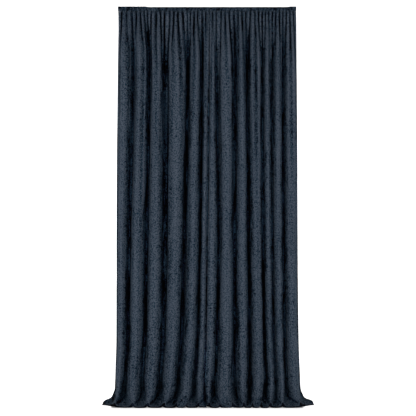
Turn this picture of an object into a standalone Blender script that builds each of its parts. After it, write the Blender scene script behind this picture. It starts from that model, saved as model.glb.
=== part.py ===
"""A pair of velvet backdrop drapes that share one rod line, as closed solids in metres.

Each drape is one sheet of cloth with a rod pocket sewn along its top. Small gathers hang from the
pocket, run out at uneven lengths and merge into a few deep folds, and the folds open into lobes
where the cloth meets the floor. The origin is the middle of the rod line: X runs along the rod,
-Y faces the room and +Z is up.
"""

import math
from collections import namedtuple

import bmesh
import bpy
from mathutils import Vector

# Driving sizes
TOP_TO_FLOOR = 2.930
POCKET_HEIGHT = 0.031
POCKET_DEPTH = 0.030
CLOTH = 0.0016
HEM_CLOTH = 0.0028
PIECE_GAP = 0.0003

# Levels of the hanging cloth
FLOOR = POCKET_HEIGHT / 2 - TOP_TO_FLOOR
CLOTH_TOP = -POCKET_HEIGHT / 2 - PIECE_GAP
CHEST = -0.506
WAIST = -1.592
KNEE = -2.442
FOOT_HEIGHT = 0.190
FOOT = FLOOR + FOOT_HEIGHT
LEVELS = (CLOTH_TOP, CHEST, WAIST, KNEE, FOOT)

# Rows of points, by how far they lie below the top of the cloth and, in the foot, by the share of
# the way from the foot's top to the hem
HUNG_ROWS = (0.0, 0.012, 0.045, 0.10, 0.16, 0.26, 0.42, 0.68, 1.05, 1.60, 2.10, 2.48)
FOOT_ROWS = (0.0, 0.24, 0.45, 0.63, 0.78, 0.90, 1.0)
STEPS_PER_GATHER = 4

# Most that the cloth's points move out at a sharp bend to keep its thickness, as a share of it
MITRE_LIMIT = 1.8
SHARPEST_BEND = 0.01

# Gathers at the pocket
GATHER_DEPTH = 0.024
GATHER_DEPTH_AT_SEAM = 0.016
GATHER_GROWS_OVER = 0.045

# Shape of a fold's section: how far its front is broader than its valley, how steep its sides are,
# and what is left of that steepness where the foot begins
FOLD_BREADTH = 0.40
GATHER_BREADTH = 0.25
STEEPNESS = 0.38
STEEPNESS_LEFT = 0.35

# Where the cloth meets the floor
TIP_REACH = 0.054
TIP_LIFT = 0.031
TIP_BEND = 0.080
LOBE_SPREAD = 0.45
LOBE_CLEARANCE = 0.004
LOBE_BEND = 0.018
FORWARD_BEND = 0.10
SPREAD_POWER = 1.7

# Rod pocket
POCKET_SIDES = 10
POCKET_PUFF = 0.0012
SEAM_SWAY_POWER = 3
END_RISE = 0.004
END_RISE_OVER = 0.030
POCKETS_MEET = 0.015
MEET_WITHIN = 0.005
MEET_GAP = 0.0010

# Finish
VELVET_ROUGHNESS = 0.85
PANEL_COLOUR = (0.045, 0.062, 0.085, 1.0)
POCKET_COLOUR = (0.055, 0.074, 0.100, 1.0)

# A valley line: its place along X at the five levels and on the floor, how far it lies behind the
# rod line, the length over which it deepens, and how far its lobe reaches before the rod line.
Valley = namedtuple("Valley", "heading chest waist knee foot lobe back deepens reach")

# A fold between two valley lines: how far it stands before the rod line, how far it leans to the
# right as a share of its width, the small valleys between the gathers that merge into it, and where
# a notch opens at its foot as a share of its width, or 0.
Fold = namedtuple("Fold", "front lean dips notch")

# A small valley: its place as a share of its fold's width, and the length over which it runs out.
Dip = namedtuple("Dip", "share runs_out")

# A drape: its side and the way along X to its outer end, its valley lines from the left side hem to
# the right one, the folds between them, and where its pocket starts to rise towards its outer end.
Drape = namedtuple("Drape", "side outer valleys folds rise_from")

LEFT = Drape(
    "left",
    -1.0,
    (
        Valley(-0.656, -0.660, -0.667, -0.667, -0.674, -0.776, 0.004, 0.50, 0.035),
        Valley(-0.556, -0.549, -0.580, -0.593, -0.613, -0.586, 0.056, 0.40, 0.098),
        Valley(-0.440, -0.430, -0.451, -0.467, -0.484, -0.490, 0.060, 0.38, 0.108),
        Valley(-0.312, -0.320, -0.320, -0.331, -0.350, -0.379, 0.062, 0.70, 0.102),
        Valley(-0.146, -0.142, -0.166, -0.194, -0.216, -0.264, 0.082, 0.42, 0.110),
        Valley(-0.036, -0.034, -0.046, -0.067, -0.088, -0.120, 0.070, 0.45, 0.104),
        Valley(0.0125, 0.015, 0.001, -0.010, -0.024, -0.024, -0.018, 0.26, 0.090),
    ),
    (
        Fold(0.048, 0.00, (Dip(0.28, 0.75), Dip(0.62, 0.30)), 0),
        Fold(0.056, 0.07, (Dip(0.28, 0.24), Dip(0.55, 0.85), Dip(0.79, 0.22)), 0),
        Fold(0.060, 0.06, (Dip(0.22, 0.28), Dip(0.49, 0.42), Dip(0.75, 0.25)), 0),
        Fold(0.064, 0.08, (Dip(0.22, 1.35), Dip(0.40, 0.26), Dip(0.58, 0.38), Dip(0.79, 0.28)), 0),
        Fold(0.056, 0.03, (Dip(0.22, 0.22), Dip(0.45, 0.28), Dip(0.70, 0.80)), 0.53),
        Fold(0.034, -0.03, (Dip(0.52, 0.28),), 0),
    ),
    -0.430,
)
RIGHT = Drape(
    "right",
    1.0,
    (
        Valley(0.0175, 0.011, -0.006, -0.018, -0.032, -0.008, 0.024, 0.26, 0.050),
        Valley(0.066, 0.068, 0.084, 0.071, 0.054, 0.050, 0.049, 0.90, 0.108),
        Valley(0.198, 0.211, 0.203, 0.205, 0.205, 0.235, 0.063, 0.40, 0.100),
        Valley(0.287, 0.295, 0.307, 0.315, 0.316, 0.294, 0.077, 0.40, 0.106),
        Valley(0.406, 0.412, 0.413, 0.427, 0.435, 0.412, 0.047, 0.60, 0.110),
        Valley(0.480, 0.482, 0.481, 0.494, 0.509, 0.493, 0.043, 0.45, 0.102),
        Valley(0.558, 0.560, 0.567, 0.574, 0.585, 0.597, 0.048, 0.50, 0.098),
        Valley(0.656, 0.663, 0.667, 0.674, 0.684, 0.784, 0.004, 0.55, 0.035),
    ),
    (
        Fold(0.038, -0.04, (Dip(0.45, 0.30),), 0),
        Fold(0.056, 0.00, (Dip(0.28, 0.60), Dip(0.50, 0.22), Dip(0.72, 1.15)), 0.44),
        Fold(0.046, 0.02, (Dip(0.32, 0.24), Dip(0.63, 0.38)), 0),
        Fold(0.049, 0.00, (Dip(0.26, 0.28), Dip(0.52, 0.85), Dip(0.78, 0.26)), 0.50),
        Fold(0.034, 0.00, (Dip(0.31, 0.20), Dip(0.64, 0.60)), 0),
        Fold(0.039, -0.02, (Dip(0.34, 0.30), Dip(0.66, 0.22)), 0),
        Fold(0.046, 0.00, (Dip(0.26, 0.22), Dip(0.52, 0.80), Dip(0.77, 0.34)), 0),
    ),
    0.585,
)


def mix(start, end, share):
    return start + (end - start) * share


def eased(share):
    """0 up to share 0 and 1 from share 1, with a smooth rise between."""
    share = min(max(share, 0.0), 1.0)
    return share * share * (3.0 - 2.0 * share)


def crest(share):
    """1 at whole numbers and 0 half way between them."""
    return (1.0 + math.cos(2.0 * math.pi * share)) / 2.0


def curved(start, bend, end, share):
    """A value that leaves start towards bend and comes to end from bend."""
    return start * (1.0 - share) ** 2 + bend * 2.0 * share * (1.0 - share) + end * share**2


def through(places, values, at):
    """The value at one place on the smooth curve through values that lie at falling places."""
    last = len(places) - 2
    index = next((i for i in range(last) if at > places[i + 1]), last)

    def slope(i):
        low, high = max(i - 1, 0), min(i + 1, last + 1)
        return (values[high] - values[low]) / (places[high] - places[low])

    run = places[index + 1] - places[index]
    share = (at - places[index]) / run
    bend_in = slope(index) * run * share * (1.0 - share) ** 2
    bend_out = slope(index + 1) * run * share**2 * (1.0 - share)
    return mix(values[index], values[index + 1], eased(share)) + bend_in - bend_out


def fold_at(drape, place):
    """The number of the fold at a place across the drape, and the share of the way across it."""
    index = min(int(place), len(drape.folds) - 1)
    return index, place - index


def valley_x(valley, z):
    return through(LEVELS, valley[:5], max(z, FOOT))


def gather_depth(below_top):
    grown = eased(below_top / GATHER_GROWS_OVER)
    return mix(GATHER_DEPTH_AT_SEAM, GATHER_DEPTH, grown)


def dips_of(drape, index):
    """All the small valleys of a fold's gathers, with the fold's own valley lines at both ends."""
    left, right = drape.valleys[index], drape.valleys[index + 1]
    return [Dip(0.0, left.deepens), *drape.folds[index].dips, Dip(1.0, right.deepens)]


def gather_at(drape, index, share):
    """The small valleys to the left and right of a place, and its share of the way between them."""
    dips = dips_of(drape, index)
    number = next(i for i in range(len(dips)) if i == len(dips) - 2 or share < dips[i + 1].share)
    left, right = dips[number], dips[number + 1]
    return left, right, (share - left.share) / (right.share - left.share)


def gather_left(dip, below_top):
    """How much of a small valley is left, from 1 at the pocket to 0 where it ends."""
    return math.cos(eased(below_top / dip.runs_out) * math.pi / 2.0)


def hung_point(drape, place, z):
    """The middle of the cloth at a place across the drape, above the foot."""
    index, share = fold_at(drape, place)
    fold = drape.folds[index]
    left, right = drape.valleys[index], drape.valleys[index + 1]
    below_top = CLOTH_TOP - z
    deepened = eased(below_top / mix(left.deepens, right.deepens, share)) * math.pi / 2.0
    fold_part, gather_part = math.sin(deepened), math.cos(deepened)

    left_dip, right_dip, gather_share = gather_at(drape, index, share)
    nearest = left_dip if gather_share < 0.5 else right_dip
    gather = gather_depth(below_top) * gather_left(nearest, below_top)
    back = mix(left.back, right.back, share)
    y = (fold.front + back) * fold_part * crest(share) - fold.front * fold_part
    y += gather * crest(gather_share) - gather_depth(below_top) * gather_part / 2.0

    turn, small_turn = 2.0 * math.pi * share, 2.0 * math.pi * gather_share
    steepness = STEEPNESS * mix(1.0, STEEPNESS_LEFT, eased((KNEE - z) / (KNEE - FOOT)))
    shift = steepness * math.sin(2.0 * turn) / 2.0 - FOLD_BREADTH * math.sin(turn)
    small_shift = STEEPNESS * math.sin(2.0 * small_turn) / 2.0 - GATHER_BREADTH * math.sin(small_turn)
    across = share + shift * fold_part / (2.0 * math.pi)
    gather_width = right_dip.share - left_dip.share
    across += small_shift * gather_part**3 * gather_width / (2.0 * math.pi)
    across += fold.lean * fold_part**4 * (1.0 - crest(share))
    return Vector((mix(valley_x(left, z), valley_x(right, z), across), y, z))


def lobes_beside(drape, index, share):
    """The lobes on the floor to the left and right of a place, each as (share, x, reach)."""
    left, right = drape.valleys[index], drape.valleys[index + 1]
    lobes = [(0.0, left.lobe, left.reach), (1.0, right.lobe, right.reach)]
    notch = drape.folds[index].notch
    if notch:
        middle = (notch, mix(left.lobe, right.lobe, notch), mix(left.reach, right.reach, notch))
        lobes.insert(1, middle)
    first = 1 if notch and share > notch else 0
    return lobes[first], lobes[first + 1]


def foot_point(drape, place, down):
    """The middle of the cloth in the foot, from down 0 at its top to 1 at the hem."""
    index, share = fold_at(drape, place)
    before, after = lobes_beside(drape, index, share)
    phase = (share - before[0]) / (after[0] - before[0])
    lobe = crest(phase)
    reach = mix(TIP_REACH, mix(before[2], after[2], eased(phase)), lobe)
    lift = LOBE_CLEARANCE + TIP_LIFT * (1.0 - lobe) ** 2

    start = hung_point(drape, place, FOOT)
    bend_height = lift + mix(TIP_BEND, LOBE_BEND, lobe)
    height = curved(FOOT_HEIGHT, bend_height, lift, down)
    y = curved(start.y, mix(start.y, -reach, FORWARD_BEND), -reach, down)
    across = phase + LOBE_SPREAD * math.sin(2.0 * math.pi * phase) / (2.0 * math.pi)
    x = mix(start.x, mix(before[1], after[1], across), down**SPREAD_POWER)
    return Vector((x, y, FLOOR + height))


def column_places(drape):
    """Where the columns of points stand across a drape, counted in folds."""
    places = []
    for index in range(len(drape.folds)):
        dips = dips_of(drape, index)
        for left, right in zip(dips, dips[1:]):
            steps = [step / STEPS_PER_GATHER for step in range(STEPS_PER_GATHER)]
            places += [index + mix(left.share, right.share, step) for step in steps]
    return places + [len(drape.folds)]


def sheet_rows(drape):
    """The points of the whole sheet, a list for each row from the pocket to the hem."""
    places = column_places(drape)
    rows = [[hung_point(drape, place, CLOTH_TOP - below) for place in places] for below in HUNG_ROWS]
    rows += [[foot_point(drape, place, down) for place in places] for down in FOOT_ROWS]
    return rows


def along_rod(drape, seam_x):
    """Where a pocket's ring stands: over its seam, or up against the other pocket where they meet."""
    meets = (seam_x - POCKETS_MEET) * drape.outer < MEET_WITHIN
    return POCKETS_MEET + drape.outer * MEET_GAP / 2.0 if meets else seam_x


def pocket_ring(drape, place):
    """One ring of the pocket's cloth around the rod line, from the seam up the back and down."""
    seam = hung_point(drape, place, CLOTH_TOP)
    gather_share = gather_at(drape, *fold_at(drape, place))[2]
    puff = POCKET_PUFF * (0.5 - crest(gather_share))
    rise = END_RISE * eased((seam.x - drape.rise_from) * drape.outer / END_RISE_OVER)
    ring = []
    for side in range(POCKET_SIDES):
        turn = 2.0 * math.pi * side / POCKET_SIDES
        lower = (1.0 + math.cos(turn)) / 2.0
        sway = seam.y * lower**SEAM_SWAY_POWER
        y = ((POCKET_DEPTH - CLOTH) / 2.0 + puff) * math.sin(turn) + sway
        z = rise * (1.0 - lower) - ((POCKET_HEIGHT - CLOTH) / 2.0) * math.cos(turn)
        ring.append(Vector((along_rod(drape, seam.x), y, z)))
    return ring


def pocket_rings(drape):
    """The rings of a pocket, one at each front and each valley of its gathers."""
    places = column_places(drape)[:: STEPS_PER_GATHER // 2]
    return [pocket_ring(drape, place) for place in places]


def cells_of(rows, ring=False):
    """The four corners of each cell between the rows of a grid, each row a ring where set."""
    for upper, lower in zip(rows, rows[1:]):
        corners = list(zip(upper, upper[1:], lower[1:], lower))
        if ring:
            corners.append((upper[-1], upper[0], lower[0], lower[-1]))
        yield from corners


def split_ways(rows, ring=False):
    """For each cell of a grid of points, whether its first diagonal is the shorter one."""
    return [(c - a).length <= (d - b).length for a, b, c, d in cells_of(rows, ring)]


def add_cells(shape, grid, splits, ring=False, turned=False):
    """Two triangles for each cell of a grid of vertices, looking the other way where turned."""
    for (a, b, c, d), first in zip(cells_of(grid, ring), splits):
        for triangle in ((a, b, c), (a, c, d)) if first else ((a, b, d), (b, c, d)):
            shape.faces.new(triangle[::-1] if turned else triangle)


def surface_of(rows, ring):
    """The middle of the cloth as a bmesh, with its grid of vertices."""
    shape = bmesh.new()
    grid = [[shape.verts.new(point) for point in row] for row in rows]
    add_cells(shape, grid, split_ways(rows, ring), ring)
    shape.normal_update()
    return shape, grid


def outward(vertex, distance):
    """The step from a vertex to the cloth's face, longer at a bend so that the cloth stays thick."""
    narrowest = min(vertex.normal.dot(face.normal) for face in vertex.link_faces)
    return vertex.normal * distance * min(1.0 / max(narrowest, SHARPEST_BEND), MITRE_LIMIT)


def mesh_of(name, shape):
    mesh = bpy.data.meshes.new(name)
    shape.to_mesh(mesh)
    shape.free()
    mesh.shade_smooth()
    return mesh


def closed_sheet(name, rows, thickness_at):
    """A sheet with both its faces and the rim between them."""
    middle, grid = surface_of(rows, False)
    sheet = bmesh.new()
    faces = []
    for side in (1.0, -1.0):
        face = []
        for row, vertices in enumerate(grid):
            half = [side * thickness_at(row, column) / 2.0 for column in range(len(vertices))]
            face.append([sheet.verts.new(v.co + outward(v, h)) for v, h in zip(vertices, half)])
        faces.append(face)
    middle.free()
    front, back = faces
    splits = split_ways(rows)
    add_cells(sheet, front, splits)
    add_cells(sheet, back, splits, turned=True)
    for near, far in (
        (back[0], front[0]),
        (front[-1], back[-1]),
        ([row[0] for row in front], [row[0] for row in back]),
        ([row[-1] for row in back], [row[-1] for row in front]),
    ):
        add_cells(sheet, [near, far], [True] * len(near))
    return mesh_of(name, sheet)


def velvet(name, colour):
    """The finish of one piece: dull, dark pile."""
    material = bpy.data.materials.new(name)
    material.use_nodes = True
    shader = material.node_tree.nodes["Principled BSDF"]
    shader.inputs["Base Color"].default_value = colour
    shader.inputs["Roughness"].default_value = VELVET_ROUGHNESS
    material.diffuse_color = colour
    return material


def add_piece(name, mesh, colour):
    piece = bpy.data.objects.new(name, mesh)
    bpy.context.scene.collection.objects.link(piece)
    mesh.materials.append(velvet(name, colour))
    return piece


def add_panel(drape):
    """One hanging sheet, with its side hems and its bottom hem at double thickness."""
    rows = sheet_rows(drape)
    last_row, last_column = len(rows) - 1, len(rows[0]) - 1

    def thickness_at(row, column):
        hemmed = row >= last_row - 1 or column <= 1 or column >= last_column - 1
        return HEM_CLOTH if hemmed else CLOTH

    mesh = closed_sheet("panel", rows, thickness_at)
    add_piece("panel_" + drape.side, mesh, PANEL_COLOUR)


def add_pocket(drape):
    """One rod pocket, an open sleeve around the rod line."""
    shape, _ = surface_of(pocket_rings(drape), True)
    piece = add_piece("rod_pocket_" + drape.side, mesh_of("rod_pocket", shape), POCKET_COLOUR)
    solidify = piece.modifiers.new("cloth thickness", "SOLIDIFY")
    solidify.thickness = CLOTH
    solidify.offset = 0.0
    solidify.use_even_offset = True


def clear_scene():
    for thing in list(bpy.data.objects):
        bpy.data.objects.remove(thing)


def main():
    clear_scene()
    for drape in (LEFT, RIGHT):
        add_panel(drape)
        add_pocket(drape)


main()
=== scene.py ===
"""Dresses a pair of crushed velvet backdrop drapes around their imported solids.

Each drape is one cut of velvet. It is gathered on a rod pocket, hangs in deep uneven folds and opens
into lobes where it meets the floor. Everything is in metres and in the frame of the solids: the
origin is the middle of the rod line, X runs along the rod, -Y faces the room and +Z is up.
"""

import logging
import math
from dataclasses import dataclass, field
from enum import Enum
from typing import Any, Iterator, Mapping, Sequence

import bpy
import numpy as np
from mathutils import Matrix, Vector


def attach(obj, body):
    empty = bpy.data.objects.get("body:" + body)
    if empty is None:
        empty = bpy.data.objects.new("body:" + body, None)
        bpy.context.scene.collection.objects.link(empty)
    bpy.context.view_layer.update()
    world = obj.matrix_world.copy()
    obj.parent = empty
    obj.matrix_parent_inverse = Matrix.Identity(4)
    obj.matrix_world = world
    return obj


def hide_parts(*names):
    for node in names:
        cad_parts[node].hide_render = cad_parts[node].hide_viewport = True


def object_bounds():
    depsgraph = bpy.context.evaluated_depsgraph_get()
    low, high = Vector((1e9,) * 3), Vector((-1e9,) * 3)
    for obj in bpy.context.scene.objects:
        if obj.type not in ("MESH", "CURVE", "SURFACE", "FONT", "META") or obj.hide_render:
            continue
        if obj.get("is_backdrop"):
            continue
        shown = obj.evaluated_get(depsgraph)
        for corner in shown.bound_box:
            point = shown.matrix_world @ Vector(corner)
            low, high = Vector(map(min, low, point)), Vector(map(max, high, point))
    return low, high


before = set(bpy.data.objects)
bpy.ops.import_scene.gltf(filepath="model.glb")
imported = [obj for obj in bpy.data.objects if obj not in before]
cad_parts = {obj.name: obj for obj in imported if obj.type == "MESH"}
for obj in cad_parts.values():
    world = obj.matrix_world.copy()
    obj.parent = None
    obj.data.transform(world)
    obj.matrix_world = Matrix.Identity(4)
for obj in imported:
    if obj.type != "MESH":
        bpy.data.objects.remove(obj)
CAD_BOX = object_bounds()

LOG = logging.getLogger("velvet_drapes")
BODY = "root"
TURN = 2.0 * math.pi

Array = np.ndarray
Colour = tuple[float, float, float]
Curve = tuple[tuple[float, float], ...]

CLOTH_WIDTH = 1.524
CLOTH_LENGTH = 2.95
NOISE_MIDDLE = 0.5
RIPPLE_STEPS = (127.1, 311.7, 74.7)
RIPPLE_SPREAD = 43758.5453
SHORTEST = 1e-12
MICROMETRE_DECIMALS = 6


def mix(start: Any, end: Any, share: Any) -> Any:
    """Blends two numbers or arrays, from start at share 0 to end at share 1."""
    return start + (end - start) * share


def eased(share: Any) -> Any:
    """Rises smoothly from 0 to 1; a share below 0 counts as 0, and one above 1 as 1."""
    share = np.clip(share, 0.0, 1.0)
    return share * share * (3.0 - 2.0 * share)


def crest(share: Any) -> Any:
    """A wave that is 1 at whole numbers and 0 half way between them."""
    return (1.0 + np.cos(TURN * share)) / 2.0


def bell(offset: Any) -> Any:
    """A soft hump that is 1 at offset 0 and nearly 0 from offset 2 on."""
    return np.exp(-(offset**2))


def curved(start: Any, bend: Any, end: Any, share: Any) -> Any:
    """A value that leaves start towards bend and comes to end from bend."""
    return start * (1.0 - share) ** 2 + bend * 2.0 * share * (1.0 - share) + end * share**2


def through(places: Sequence[float], values: Sequence[float], at: Array) -> Array:
    """Reads a smooth curve that runs through values at falling places.

    Args:
        places: where the values lie, from the highest down.
        values: the curve's value at each place.
        at: the places to read.

    Returns:
        The curve's value at each of them.
    """
    heights, known = np.array(places), np.array(values)
    last = len(heights) - 2
    index = np.clip(np.searchsorted(-heights, -at, side="right") - 1, 0, last)
    low = np.maximum(np.arange(last + 2) - 1, 0)
    high = np.minimum(np.arange(last + 2) + 1, last + 1)
    slope = (known[high] - known[low]) / (heights[high] - heights[low])
    run = heights[index + 1] - heights[index]
    share = (at - heights[index]) / run
    bend_in = slope[index] * run * share * (1.0 - share) ** 2
    bend_out = slope[index + 1] * run * share**2 * (1.0 - share)
    return mix(known[index], known[index + 1], eased(share)) + bend_in - bend_out


def ripples(across: Array, along: Array, seed: float) -> Array:
    """Smooth uneven relief over a sheet.

    Args:
        across: places across the sheet, one unit to a ripple.
        along: places along the sheet, one unit to a ripple.
        seed: picks one pattern of many.

    Returns:
        The relief, from -1 to 1.
    """
    left, top = np.floor(across), np.floor(along)
    right_share, low_share = eased(across - left), eased(along - top)

    def corner(step_across: int, step_along: int) -> Array:
        """The value at one corner of each ripple.

        Args:
            step_across: 0 for the left corners, 1 for the right ones.
            step_along: 0 for the upper corners, 1 for the lower ones.

        Returns:
            The values, from -1 to 1.
        """
        mixed = (left + step_across) * RIPPLE_STEPS[0] + (top + step_along) * RIPPLE_STEPS[1]
        mixed = mixed + seed * RIPPLE_STEPS[2]
        return 2.0 * ((np.sin(mixed) * RIPPLE_SPREAD) % 1.0) - 1.0

    upper = mix(corner(0, 0), corner(1, 0), right_share)
    lower = mix(corner(0, 1), corner(1, 1), right_share)
    return mix(upper, lower, low_share)


def uneven(places: Array, seed: float) -> Array:
    """Smooth unevenness along a line, from -1 to 1, with one unit to a ripple."""
    return ripples(places, places * 0.0, seed)


@dataclass(frozen=True)
class Ramp:
    """A smooth rise from 0 to 1, with the place where it starts and the length that it takes."""

    start: float
    length: float

    def at(self, place: Any) -> Any:
        """How far the rise has come at a place."""
        return eased((place - self.start) / self.length)


@dataclass(frozen=True)
class Ripple:
    """Uneven relief of the cloth.

    depth is its height, across and down the size of one ripple, seed its pattern, and slant how far
    it shifts sideways on its way down.
    """

    depth: float
    across: float
    down: float
    seed: float
    slant: float = 0.0

    def at(self, across: Array, down: Array, seed: float) -> Array:
        """The relief at places on the flat cloth, for one seed of the whole panel."""
        sideways = across / self.across + self.slant * down
        return self.depth * ripples(sideways, down / self.down, seed + self.seed)


class Side(Enum):
    """Which of the two drapes, as seen from the room."""

    LEFT = "left"
    RIGHT = "right"

    @property
    def outer(self) -> float:
        """The way along X to the drape's outer end."""
        return -1.0 if self is Side.LEFT else 1.0


@dataclass(frozen=True)
class Valley:
    """A valley line: its X at five levels and on the floor, and how its fold begins and ends."""

    heading: float
    chest: float
    waist: float
    knee: float
    foot: float
    lobe: float
    back: float
    deepens: float
    reach: float

    @property
    def hung(self) -> tuple[float, ...]:
        """Its X at the five levels, from the top down."""
        return (self.heading, self.chest, self.waist, self.knee, self.foot)


@dataclass(frozen=True)
class Dip:
    """A small valley between two gathers: its place as a share of its fold's width, and its length."""

    share: float
    runs_out: float


@dataclass(frozen=True)
class Fold:
    """A fold between two valley lines.

    front is how far it stands before the rod line, lean how far it leans to the right as a share of
    its width, dips the small valleys between the gathers that merge into it, and notch the place
    where its foot opens, as a share of its width, or 0.
    """

    front: float
    lean: float
    dips: tuple[Dip, ...]
    notch: float = 0.0


@dataclass(frozen=True)
class Crease:
    """A soft trough, listed in the drape's table.

    fold and share say where it starts across the drape, drift how far it moves across on its way
    down, top and bottom how far below the pocket it begins and ends, and depth and width its form.
    """

    fold: int
    share: float
    drift: float
    top: float
    bottom: float
    depth: float
    width: float


@dataclass(frozen=True)
class Drape:
    """One drape: its valley lines and folds from left to right, and its creases."""

    side: Side
    valleys: tuple[Valley, ...]
    folds: tuple[Fold, ...]
    creases: tuple[Crease, ...]
    rise_from: float


LEFT = Drape(
    Side.LEFT,
    (
        Valley(-0.658, -0.662, -0.669, -0.671, -0.679, -0.772, 0.004, 0.50, 0.035),
        Valley(-0.556, -0.549, -0.580, -0.593, -0.613, -0.586, 0.056, 0.40, 0.098),
        Valley(-0.440, -0.430, -0.451, -0.467, -0.484, -0.490, 0.060, 0.38, 0.108),
        Valley(-0.312, -0.320, -0.320, -0.331, -0.350, -0.379, 0.062, 0.70, 0.102),
        Valley(-0.146, -0.142, -0.166, -0.194, -0.216, -0.264, 0.082, 0.42, 0.110),
        Valley(-0.036, -0.034, -0.046, -0.067, -0.088, -0.120, 0.070, 0.45, 0.104),
        Valley(0.01445, 0.015, 0.001, -0.010, -0.024, -0.006, -0.018, 0.26, 0.090),
    ),
    (
        Fold(0.048, 0.00, (Dip(0.28, 0.75), Dip(0.62, 0.30))),
        Fold(0.056, 0.07, (Dip(0.28, 0.24), Dip(0.55, 0.85), Dip(0.79, 0.22))),
        Fold(0.060, 0.06, (Dip(0.22, 0.28), Dip(0.49, 0.42), Dip(0.75, 0.25))),
        Fold(0.064, 0.08, (Dip(0.22, 1.35), Dip(0.40, 0.26), Dip(0.58, 0.38), Dip(0.79, 0.28))),
        Fold(0.056, 0.03, (Dip(0.22, 0.22), Dip(0.45, 0.28), Dip(0.70, 0.80)), 0.53),
        Fold(0.034, -0.03, (Dip(0.52, 0.28),)),
    ),
    (
        Crease(0, 0.62, -0.10, 0.90, 2.10, 0.004, 0.010),
        Crease(1, 0.70, -0.08, 1.30, 2.50, 0.005, 0.012),
        Crease(2, 0.40, 0.10, 0.90, 1.70, 0.004, 0.010),
        Crease(3, 0.56, -0.06, 1.20, 2.60, 0.005, 0.014),
        Crease(4, 0.36, 0.05, 1.40, 2.70, 0.005, 0.012),
    ),
    -0.430,
)
RIGHT = Drape(
    Side.RIGHT,
    (
        Valley(0.01555, 0.011, -0.006, -0.018, -0.032, -0.030, 0.024, 0.26, 0.050),
        Valley(0.066, 0.068, 0.084, 0.071, 0.054, 0.050, 0.049, 0.90, 0.108),
        Valley(0.198, 0.211, 0.203, 0.205, 0.205, 0.235, 0.063, 0.40, 0.100),
        Valley(0.287, 0.295, 0.307, 0.315, 0.316, 0.294, 0.077, 0.40, 0.106),
        Valley(0.406, 0.412, 0.413, 0.427, 0.435, 0.412, 0.047, 0.60, 0.110),
        Valley(0.480, 0.482, 0.481, 0.494, 0.509, 0.493, 0.043, 0.45, 0.102),
        Valley(0.558, 0.560, 0.567, 0.574, 0.585, 0.597, 0.048, 0.50, 0.098),
        Valley(0.656, 0.663, 0.667, 0.674, 0.684, 0.784, 0.004, 0.55, 0.035),
    ),
    (
        Fold(0.038, -0.04, (Dip(0.45, 0.30),)),
        Fold(0.056, 0.00, (Dip(0.28, 0.60), Dip(0.50, 0.22), Dip(0.72, 1.15)), 0.44),
        Fold(0.046, 0.02, (Dip(0.32, 0.24), Dip(0.63, 0.38))),
        Fold(0.049, 0.00, (Dip(0.26, 0.28), Dip(0.52, 0.85), Dip(0.78, 0.26)), 0.50),
        Fold(0.034, 0.00, (Dip(0.31, 0.20), Dip(0.64, 0.60))),
        Fold(0.039, -0.02, (Dip(0.34, 0.30), Dip(0.66, 0.22))),
        Fold(0.046, 0.00, (Dip(0.26, 0.22), Dip(0.52, 0.80), Dip(0.77, 0.34))),
    ),
    (
        Crease(1, 0.55, -0.05, 1.50, 2.70, 0.006, 0.014),
        Crease(2, 0.42, 0.08, 1.00, 2.30, 0.004, 0.010),
        Crease(3, 0.52, 0.04, 1.70, 2.70, 0.007, 0.013),
        Crease(6, 0.62, 0.08, 0.70, 2.40, 0.005, 0.012),
    ),
    0.585,
)


@dataclass(frozen=True)
class HangingSizes:
    """The sizes that shape hanging cloth, the same for both drapes."""

    top_to_floor: float = 2.930
    pocket_height: float = 0.031
    pocket_depth: float = 0.030
    piece_gap: float = 0.0001
    chest: float = -0.506
    waist: float = -1.592
    knee: float = -2.442
    foot_height: float = 0.190
    gather_depth: float = 0.025
    gather_depth_at_seam: float = 0.017
    gathers_grow: Ramp = Ramp(0.0, 0.035)
    gather_power: int = 3
    lean_power: int = 4
    seam_forward: float = 0.0035
    seam_forward_ends: Ramp = Ramp(0.0, 0.12)
    fold_breadth: float = 0.62
    gather_breadth: float = 0.42
    steepness: float = 0.38
    steepness_left: float = 0.35
    tip_reach: float = 0.090
    tip_lift: float = 0.004
    tip_sharpness: float = 3.0
    tip_bend: float = 0.060
    lobe_spread: float = 0.80
    lobe_clearance: float = 0.0032
    lobe_bend: float = 0.018
    forward_bend: float = 0.10
    spread_power: float = 1.7
    corner_heights: tuple[float, ...] = (0.190, 0.090, 0.060, 0.045, 0.030, 0.022, 0.014, 0.002)
    corner_shares: tuple[float, ...] = (0.0, 0.14, 0.27, 0.34, 0.50, 0.80, 0.97, 1.0)
    corner_back: float = 0.13
    corner_width: float = 0.45
    depth_varies: float = 0.45
    depth_ripples: float = 2.6
    depth_seed: float = 4.0
    join_width: float = 0.45
    gathers_last: float = 2.2
    gathers_give_way: float = 0.5
    overlap: float = 0.0025
    overlap_begins: Ramp = Ramp(0.0, 0.012)
    overlap_apart: float = 0.0026
    overlap_parts: Ramp = Ramp(0.0, 0.008)
    overlap_ends: Ramp = Ramp(0.10, 0.30)
    tucked_under: float = 0.026
    tucked_within: float = 0.12
    tuck_begins: Ramp = Ramp(0.35, 1.0)

    @property
    def floor(self) -> float:
        """The floor's height."""
        return self.pocket_height / 2.0 - self.top_to_floor

    @property
    def cloth_top(self) -> float:
        """The height where the hanging cloth starts, just under its pocket."""
        return -self.pocket_height / 2.0 - self.piece_gap

    @property
    def foot(self) -> float:
        """The height where the cloth starts to spread towards the floor."""
        return self.floor + self.foot_height

    @property
    def hung_length(self) -> float:
        """The length of cloth above the foot."""
        return self.cloth_top - self.foot

    @property
    def levels(self) -> tuple[float, ...]:
        """The five levels of the valley tables, from the top down."""
        return (self.cloth_top, self.chest, self.waist, self.knee, self.foot)


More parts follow.
